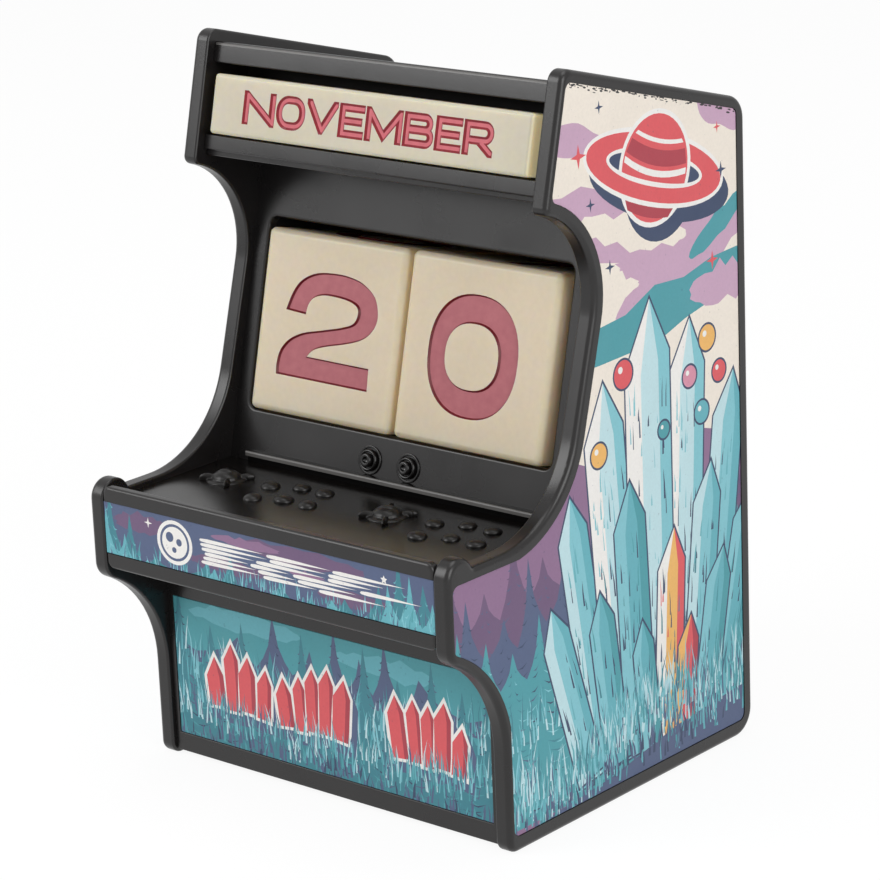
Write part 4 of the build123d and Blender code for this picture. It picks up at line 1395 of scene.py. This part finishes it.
# %% Kick panel print
KICK_CLOUDS = (("sea", -20, 30, 14, 2.2, 61, 0, 0.3), ("sea", 14, 28.5, 12, 2.0, 62, 0, 0.3))
KICK_SPIRES = (
    (56, "slate", 20, 0.3, ("night", "slate"),
     [(-44, 31), (-22, 27), (-13, 33), (-4, 28), (2, 34), (8, 29), (14, 33.5), (22, 28), (44, 30)]),
    (57, "pine", 4, 0.6, ("teal", "slate", "night"),
     [(-44, 30), (-37, 34), (-29, 28), (-21, 30), (-14, 26), (-6, 31), (1, 27), (9, 31.5), (17, 27), (25, 32),
      (32, 28), (38, 34), (44, 30)]),
)
KICK_CLUMPS = ((-28.0, 4, 14.0), (-10.5, 5, 14.5), (17.0, 5, 14.5))   # left end, crystals, height
CLUMP_FOOT, CLUMP_EDGE = 11.6, 0.6
KICK_FAR_REEDS = (41, -39, 39, lambda x: 12 + 5 * (abs(x) / 38) ** 2, 10, 300,
                  ("sea", "aqua", "teal", "ice", "pine"), 0.36)
KICK_REEDS = (
    (44, -39, 39, lambda x: 6.5 + 3 * (abs(x) / 38) ** 3, 7.5, 420,
     ("aqua", "sea", "teal", "ice", "pine", "slate"), 0.34),
    (46, -39, 39, lambda x: 3.2, 5, 220, ("slate", "slate", "night", "pine", "teal"), 0.5),
)


def crystal_clumps():
    """Clumps of red crystals: a hard shadow under all of them, then pale edges, then red."""
    chance, crystals = random.Random(52), []
    for x, number, height in KICK_CLUMPS:
        for k in range(number):
            width = chance.uniform(3.0, 4.4)
            spread = k - (number - 1) / 2
            tall = height * chance.uniform(0.8, 1.0) - abs(spread) * 1.1
            crystals.append((x, CLUMP_FOOT + chance.uniform(0, 0.8), width, tall, 0.05 * spread))
            x += width * 0.94
    layers = []
    for ink, across, up in (("slate", 1.2, -1.9), ("white", 0, 0)):
        for place in crystals:
            layers.append((ink, moved(crystal(*place, (ink,) * 4, CLUMP_EDGE)[0][1], across, up)))
    for place in crystals:
        layers += crystal(*place, ("brick", "red", "red", "brick"), 0.0)[1:]
    for x, foot, width, tall, lean in crystals:
        layers.append(("white", blade(x - width / 2, foot, tall - width * 0.7, 0.0, 0.16, lean)))
    return layers


kick_picture = backdrop("teal", -10, 50) + drawn(cloud, KICK_CLOUDS) + drawn(spires, KICK_SPIRES)
kick_picture += reeds(*KICK_FAR_REEDS) + crystal_clumps() + drawn(reeds, KICK_REEDS)
printed_sheet("kick_label", (0, -1, 0), (1, 0, 0), kick_picture)

# %% [markdown]
# ## Smooth shells
#
# The CAD's rounded rims arrive as narrow flat strips. Finer strips would only hide that.
# A stand-in with the same points joins the strips and shades them as one curve. Normals
# weighted by area keep the flat faces beside a rim truly flat, so only the rounding
# catches the light.

# %% Smooth shells
SAME_VERTEX, NORMAL_WEIGHT = 0.0005, 80
FLAT_ANGLE, BEVEL_ANGLE, SHARP_ANGLE = math.radians(0.5), math.radians(40), math.radians(38)


def evaluated(piece):
    """Apply a piece's modifiers to its mesh and take them off."""
    graph = bpy.context.evaluated_depsgraph_get()
    result = bpy.data.meshes.new_from_object(piece.evaluated_get(graph))
    piece.modifiers.clear()
    old, piece.data = piece.data, result
    bpy.data.meshes.remove(old)
    return piece


def shade_smooth(mesh, sharp_angle):
    """Smooth shading, broken where two faces meet at more than the angle."""
    mesh.polygons.foreach_set("use_smooth", [True] * len(mesh.polygons))
    mesh.set_sharp_from_angle(angle=sharp_angle)


def smoothed(name, finish, edge_round):
    """Stand in for a node by its own mesh, with shared points and smooth small angles.

    Where an edge rounding is given, sharp edges get it, so that they catch a line of light."""
    shell = bmesh.new()
    shell.from_mesh(nodes[name].data)
    bmesh.ops.remove_doubles(shell, verts=shell.verts, dist=SAME_VERTEX * MM)
    if edge_round:
        bmesh.ops.dissolve_limit(shell, angle_limit=FLAT_ANGLE, verts=shell.verts, edges=shell.edges)
    points = [tuple(v.co / MM) for v in shell.verts]
    faces = [[v.index for v in f.verts] for f in shell.faces]
    shell.free()
    piece = make_piece(f"{name}_smooth", "cabinet", points, faces, [finish], name)
    if edge_round:
        soft = piece.modifiers.new("soft edges", "BEVEL")
        soft.width, soft.segments, soft.limit_method = edge_round * MM, 3, "ANGLE"
        soft.angle_limit = BEVEL_ANGLE
        evaluated(piece)
    shade_smooth(piece.data, SHARP_ANGLE)
    weighted = piece.modifiers.new("weighted", "WEIGHTED_NORMAL")
    weighted.keep_sharp = True
    weighted.weight = NORMAL_WEIGHT
    return evaluated(piece)


SMOOTH_SHELLS = {                # finish, and the rounding of its edges where the CAD left them sharp
    "side_panel_left": (shell_black, 0.0), "side_panel_right": (shell_black, 0.0),
    "screen_bezel": (shell_black, 0.0), "control_deck": (deck_black, 0.0),
    "front_apron": (shell_black, 0.0), "roof_panel": (roof_black, 0.25),
    "marquee_soffit": (shell_black, 0.25), "kick_panel": (shell_black, 0.3),
    "nose_soffit": (shell_black, 0.25),
}
shells = {}
for name, (finish, edge_round) in SMOOTH_SHELLS.items():
    shells[name] = smoothed(name, finish, edge_round)
    print(shells[name].name, len(shells[name].data.polygons), "faces")

# %% [markdown]
# The ledge at the back of the deck and the front edge of the roof get a lighter black as a
# painted highlight, and the step under the ledge a near-black as painted shade. A painted mask
# would need a layout of the surface. Each face's place and direction tell as well which
# finish it takes.

# %% Rubbed edges
DECK_FLOOR, LIP_UNDERSIDE = 54.2, 55.4    # heights on the deck
SLACK, FACING, ROOF_EDGE_DEPTH = 0.05, 0.3, 1.0
# Two finishes after the shell's own: a painted highlight and a painted shade.
PAINTED_HIGHLIGHT, PAINTED_SHADE = 1, 2                         # finishes after the shell's own
deck, roof = shells["control_deck"].data, shells["roof_panel"].data
deck.materials.append(highlight_painted_black)
deck.materials.append(shade_painted_black)
roof.materials.append(highlight_painted_black)
# Forward faces above the lip get the painted highlight; faces in the step below it get painted shade.
for polygon in deck.polygons:
    height, forward = polygon.center.z / MM, -polygon.normal.y
    if height > LIP_UNDERSIDE + SLACK and forward > FACING:
        polygon.material_index = PAINTED_HIGHLIGHT
    elif DECK_FLOOR + SLACK < height < LIP_UNDERSIDE + SLACK:
        polygon.material_index = PAINTED_SHADE
# Forward and upward faces along the roof's front edge get the painted highlight.
roof_front = min(v.co.y for v in roof.vertices) / MM
for polygon in roof.polygons:
    rising, forward = polygon.normal.z, -polygon.normal.y
    if rising > FACING and forward > FACING and polygon.center.y / MM < roof_front + ROOF_EDGE_DEPTH:
        polygon.material_index = PAINTED_HIGHLIGHT
print("faces with painted highlight:", [sum(p.material_index == PAINTED_HIGHLIGHT for p in mesh.polygons) for mesh in (deck, roof)])

# %% [markdown]
# ## Turned studs
#
# The two studs under the screen are turned shapes: a flange in a dark groove, two
# rounded steps and a dished top. A Screw modifier could turn a profile too, but a loop
# over rings of points closes the ends cleanly and gives the mesh at once.

# %% Turned shapes
TURN_STEPS, CORNER_STEPS = 48, 4


def turned(profile):
    """A closed shape turned about Z, from (radius, height) pairs that start and end on the axis."""
    points, rings, faces = [], [], []
    for radius, height in profile:
        if radius == 0:
            rings.append([len(points)])
            points.append((0, 0, height))
            continue
        rings.append(list(range(len(points), len(points) + TURN_STEPS)))
        for i in range(TURN_STEPS):
            a = 2 * math.pi * i / TURN_STEPS
            points.append((radius * math.cos(a), radius * math.sin(a), height))
    for low, high in zip(rings, rings[1:]):
        for i in range(TURN_STEPS):
            j = (i + 1) % TURN_STEPS
            corners = [low[i % len(low)], low[j % len(low)], high[j % len(high)], high[i % len(high)]]
            face = [c for k, c in enumerate(corners) if c not in corners[:k]]
            if len(face) > 2:
                faces.append(face)
    return points, faces


def rounded_corner(radius, height, bend):
    """The profile of an outer corner at a radius and height, rounded by a bend."""
    centre = (radius - bend, height - bend)
    return [(centre[0] + bend * math.cos(a), centre[1] + bend * math.sin(a))
            for a in (math.pi / 2 * k / CORNER_STEPS for k in range(CORNER_STEPS + 1))]


STUD_PROFILE = ([(0, -2.0), (1.2, -2.0), (1.2, -0.02), (2.75, -0.02)] + rounded_corner(2.75, 0.3, 0.16)
                + [(2.3, 0.26), (2.2, 0.02), (2.05, 0.02)] + rounded_corner(2.0, 0.95, 0.3)
                + [(1.5, 0.85), (1.42, 0.6), (1.3, 0.6)] + rounded_corner(1.25, 1.6, 0.3)
                + [(0.62, 1.55), (0.5, 1.1), (0.3, 1.0), (0, 0.98)])


STUD_PITCH, STUD_SHIFT, STUD_UP, BEZEL_BACK = 9.2, -0.4, -5.25, 1.6
STUD_SHARP_ANGLE = math.radians(50)
points, faces = turned(STUD_PROFILE)
for side, direction in (("left", -1), ("right", 1)):
    place = Matrix.Translation(at(STUD_SHIFT + direction * STUD_PITCH / 2, BEZEL_BACK, STUD_UP))
    place = place @ Matrix.Rotation(math.pi / 2 - LEAN, 4, "X")
    stud = make_piece(f"screen_stud_{side}_turned", "cabinet", points, faces, [stud_black],
                      f"screen_stud_{side}", place=place)
    shade_smooth(stud.data, STUD_SHARP_ANGLE)
    print(stud.name, len(stud.data.polygons), "faces")

# %% [markdown]
# ## Joysticks
#
# Each joystick is one soft-edged moulding: a low round foot, four small fins across it
# and a dome. Boolean unions would leave hard seams between these lumps. A fine voxel
# remesh joins them, and a little smoothing leaves the blurred edges of a small casting.

# %% Joystick shape
STUB, FOOT = ((0, 0, -2.0), 1.2, 2.2), ((0, 0, -0.05), 3.9, 0.4, 0.9)     # place, radius, height, taper
DOME, GRIP = ((0, 0, 0.4), (2.9, 2.6, 1.5)), ((0.1, -0.2, 1.35), (1.7, 0.7, 0.85), 0.25)
FIN_ANGLE, FIN_REACH, FIN_HEIGHT = 38, 3.6, 0.4
FIN_LENGTH, FIN_HALF, FIN_RISE, FIN_TIP = 1.7, 0.42, 0.7, (0.45, 0.5, 0.7)


def ellipsoid(shape, centre, radii, turn=0.0):
    """Add a stretched sphere, turned about Z, to a bmesh in millimetres."""
    place = Matrix.Translation(centre) @ Matrix.Rotation(turn, 4, "Z") @ Matrix.Diagonal((*radii, 1))
    bmesh.ops.create_uvsphere(shape, u_segments=24, v_segments=14, radius=1.0, matrix=place)


def drum(shape, centre, radius, height, taper=1.0):
    """Add an upright drum that stands on its centre."""
    bmesh.ops.create_cone(shape, cap_ends=True, segments=40, radius1=radius, radius2=radius * taper,
                          depth=height,
                          matrix=Matrix.Translation((centre[0], centre[1], centre[2] + height / 2)))


def joystick_lump(seed):
    """The joystick about its own foot, as a bmesh of overlapping lumps."""
    chance, shape = random.Random(seed), bmesh.new()
    drum(shape, *STUB)
    drum(shape, *FOOT)
    ellipsoid(shape, *DOME)
    ellipsoid(shape, *GRIP)
    for quarter in range(4):
        a = math.radians(FIN_ANGLE + 90 * quarter + chance.uniform(-7, 7))
        reach = FIN_REACH + chance.uniform(-0.2, 0.3)
        x, y = reach * math.cos(a), reach * math.sin(a)
        radii = (FIN_LENGTH, FIN_HALF, FIN_RISE + chance.uniform(0, 0.25))
        ellipsoid(shape, (x, y, FIN_HEIGHT), radii, a + chance.uniform(-0.35, 0.35))
        ellipsoid(shape, (x * 1.12, y * 1.08, FIN_HEIGHT), FIN_TIP, a)
    return shape


sample = joystick_lump(0)
print("a joystick starts as", len(sample.verts), "points in loose lumps")
sample.free()

# %% [markdown]
# The remesh's cell is a good deal smaller than the thinnest fin, so that no fin breaks.

# %% Joysticks
REMESH_CELL, BLUR, BLUR_ROUNDS = 0.13, 0.5, 4


def cast(name, node, shape, place, finish):
    """Join a bmesh's lumps into one moulding and set it in its place."""
    mesh = bpy.data.meshes.new(name)
    bmesh.ops.scale(shape, vec=(MM, MM, MM), verts=shape.verts)
    bmesh.ops.transform(shape, matrix=place, verts=shape.verts)
    shape.to_mesh(mesh)
    shape.free()
    mesh.materials.append(finish)
    piece = link_object(name, mesh)
    remesh = piece.modifiers.new("join", "REMESH")
    remesh.mode, remesh.voxel_size = "VOXEL", REMESH_CELL * MM
    remesh.use_smooth_shade = True
    blur = piece.modifiers.new("blur", "SMOOTH")
    blur.factor, blur.iterations = BLUR, BLUR_ROUNDS
    evaluated(piece)
    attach(piece, "cabinet")
    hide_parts(node)
    return piece


def foot_of(node, height):
    """The middle of a node seen from above, at a height in metres."""
    low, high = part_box(node)
    return Matrix.Translation(((low[0] + high[0]) / 2, (low[1] + high[1]) / 2, height))


for side, seed in (("left", 3), ("right", 8)):
    node = f"joystick_{side}"
    stick = cast(f"{node}_moulded", node, joystick_lump(seed),
                 foot_of(node, DECK_FLOOR * MM), control_black)
    print(stick.name, len(stick.data.polygons), "faces")

# %% [markdown]
# ## Buttons
#
# Six caps rise from one carrier under the deck. They could be copied by hand, but no two
# caps on a cheap moulding sit quite alike. A Geometry Nodes tree makes one cap from a
# flattened sphere on a shaft and sets it on six points with a small random size and tilt.
# The tree's inputs give the cap's size, so one tree serves both players.

# %% Button tree
SHAFT_SHARE, CAP_SIZES, CAP_TILT = 0.8, (0.92, 1.1), (0.09, 0.09, 3)      # tilt in radians about X, Y, Z


def add(tree, kind, links=(), **values):
    """Add a node, set its inputs by name and link sockets to its inputs."""
    node = tree.nodes.new(kind)
    for name, value in values.items():
        node.inputs[name.replace("_", " ")].default_value = value
    for socket, name in links:
        tree.links.new(socket, node.inputs[name])
    return node


def button_tree():
    """The node tree that turns points into button caps."""
    tree = bpy.data.node_groups.new("button caps", "GeometryNodeTree")
    face = tree.interface
    face.new_socket("Geometry", in_out="INPUT", socket_type="NodeSocketGeometry")
    for name in ("Cap radius", "Cap height", "Shaft length"):
        face.new_socket(name, in_out="INPUT", socket_type="NodeSocketFloat")
    face.new_socket("Seed", in_out="INPUT", socket_type="NodeSocketInt")
    face.new_socket("Finish", in_out="INPUT", socket_type="NodeSocketMaterial")
    face.new_socket("Geometry", in_out="OUTPUT", socket_type="NodeSocketGeometry")
    start = tree.nodes.new("NodeGroupInput").outputs
    end = tree.nodes.new("NodeGroupOutput")

    ball = add(tree, "GeometryNodeMeshUVSphere", Segments=32, Rings=18, Radius=1.0)
    flat = add(tree, "ShaderNodeCombineXYZ", [(start["Cap radius"], "X"), (start["Cap radius"], "Y"),
                                              (start["Cap height"], "Z")])
    cap = add(tree, "GeometryNodeTransform", [(ball.outputs["Mesh"], "Geometry"), (flat.outputs[0], "Scale")])
    slim = calculated(tree, "MULTIPLY", start["Cap radius"], SHAFT_SHARE)
    rod = add(tree, "GeometryNodeMeshCylinder", [(slim, "Radius"), (start["Shaft length"], "Depth")],
              Vertices=24)
    drop = calculated(tree, "MULTIPLY", start["Shaft length"], -0.5)
    low = add(tree, "ShaderNodeCombineXYZ", [(drop, "Z")])
    shaft = add(tree, "GeometryNodeTransform", [(rod.outputs["Mesh"], "Geometry"),
                                                (low.outputs[0], "Translation")])
    button = tree.nodes.new("GeometryNodeJoinGeometry")
    tree.links.new(cap.outputs[0], button.inputs[0])
    tree.links.new(shaft.outputs[0], button.inputs[0])

    size = add(tree, "FunctionNodeRandomValue", [(start["Seed"], "Seed")])
    size.data_type = "FLOAT"
    size.inputs[2].default_value, size.inputs[3].default_value = CAP_SIZES
    tilt = add(tree, "FunctionNodeRandomValue", [(start["Seed"], "Seed")])
    tilt.data_type = "FLOAT_VECTOR"
    tilt.inputs[0].default_value, tilt.inputs[1].default_value = [-a for a in CAP_TILT], CAP_TILT
    spread = add(tree, "GeometryNodeInstanceOnPoints", [
        (start["Geometry"], "Points"), (button.outputs[0], "Instance"), (tilt.outputs[0], "Rotation"),
        (size.outputs[1], "Scale")])
    real = add(tree, "GeometryNodeRealizeInstances", [(spread.outputs[0], "Geometry")])
    shade = add(tree, "GeometryNodeSetShadeSmooth", [(real.outputs[0], "Geometry")])
    finished = add(tree, "GeometryNodeSetMaterial", [(shade.outputs[0], "Geometry"),
                                                     (start["Finish"], "Material")])
    tree.links.new(finished.outputs[0], end.inputs[0])
    return tree


cap_tree = button_tree()
cap_inputs = {item.name: item.identifier for item in cap_tree.interface.items_tree if item.in_out == "INPUT"}
print("inputs of the button tree:", list(cap_inputs))

# %% [markdown]
# The tree needs only a mesh of six points. Its result becomes a plain mesh, and the flat
# carrier that holds the six shafts together under the deck is added to it.

# %% Button clusters
BUTTON_PITCH, ROW_PITCH, ROW_SHIFT, THUMB_STEP, BACK_MARGIN = 5.7, 7.0, 2.0, 2.3, 2.7
CAP_RADIUS, CAP_HEIGHT, DECK_PLATE, CARRIER = 1.74, 0.95, 2.0, 1.0


def button_cluster(side, seed):
    """The six caps of one player on their carrier, in place of the CAD node."""
    node = f"button_cluster_{side}"
    low, high = (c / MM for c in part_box(node))
    middle_x, back_y = (low.x + high.x) / 2, high.y - BACK_MARGIN - ROW_PITCH / 2
    spots = []
    for row in (-0.5, 0.5):
        for column in (-1, 0, 1):
            spots.append((middle_x + column * BUTTON_PITCH - row * ROW_SHIFT,
                          back_y + row * ROW_PITCH - (THUMB_STEP if column < 0 else 0.0), DECK_FLOOR))
    name = f"{node}_caps"
    mesh = bpy.data.meshes.new(name)
    mesh.from_pydata([tuple(c * MM for c in spot) for spot in spots], [], [])
    piece = link_object(name, mesh)
    grow = piece.modifiers.new("caps", "NODES")
    grow.node_group = cap_tree
    for label, value in (("Cap radius", CAP_RADIUS * MM), ("Cap height", CAP_HEIGHT * MM),
                         ("Shaft length", DECK_PLATE * MM), ("Seed", seed), ("Finish", control_black)):
        grow[cap_inputs[label]] = value
    evaluated(piece)
    carrier = bmesh.new()
    carrier.from_mesh(piece.data)
    size = Vector((high.x - low.x, high.y - low.y, CARRIER))
    centre = Vector(((low.x + high.x) / 2, (low.y + high.y) / 2, DECK_FLOOR - DECK_PLATE - CARRIER / 2))
    block = Matrix.Translation(centre * MM) @ Matrix.Diagonal((*(size * MM), 1))
    bmesh.ops.create_cube(carrier, size=1.0, matrix=block)
    carrier.to_mesh(piece.data)
    carrier.free()
    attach(piece, "cabinet")
    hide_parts(node)
    return piece


for side, seed in (("left", 5), ("right", 12)):
    caps = button_cluster(side, seed)
    print(caps.name, len(caps.data.polygons), "faces")

# %% [markdown]
# ## Finishes for the CAD pieces
#
# The base, the back cover with its screws, the tray, the tub and the rack have the right
# shape already. Making them again would add nothing, so they stay as the CAD made them
# and only get their finish.

# %% Finish the CAD nodes
FINISH_OF = {"cube_pocket": inner_black, "month_bar_tray": inner_black, "spare_bar_rack": inner_black,
             "back_cover_screws": screw_steel}
for name, node in nodes.items():
    node.data.materials.clear()
    node.data.materials.append(FINISH_OF.get(name, shell_black))
print("CAD nodes with a finish:", len(nodes))
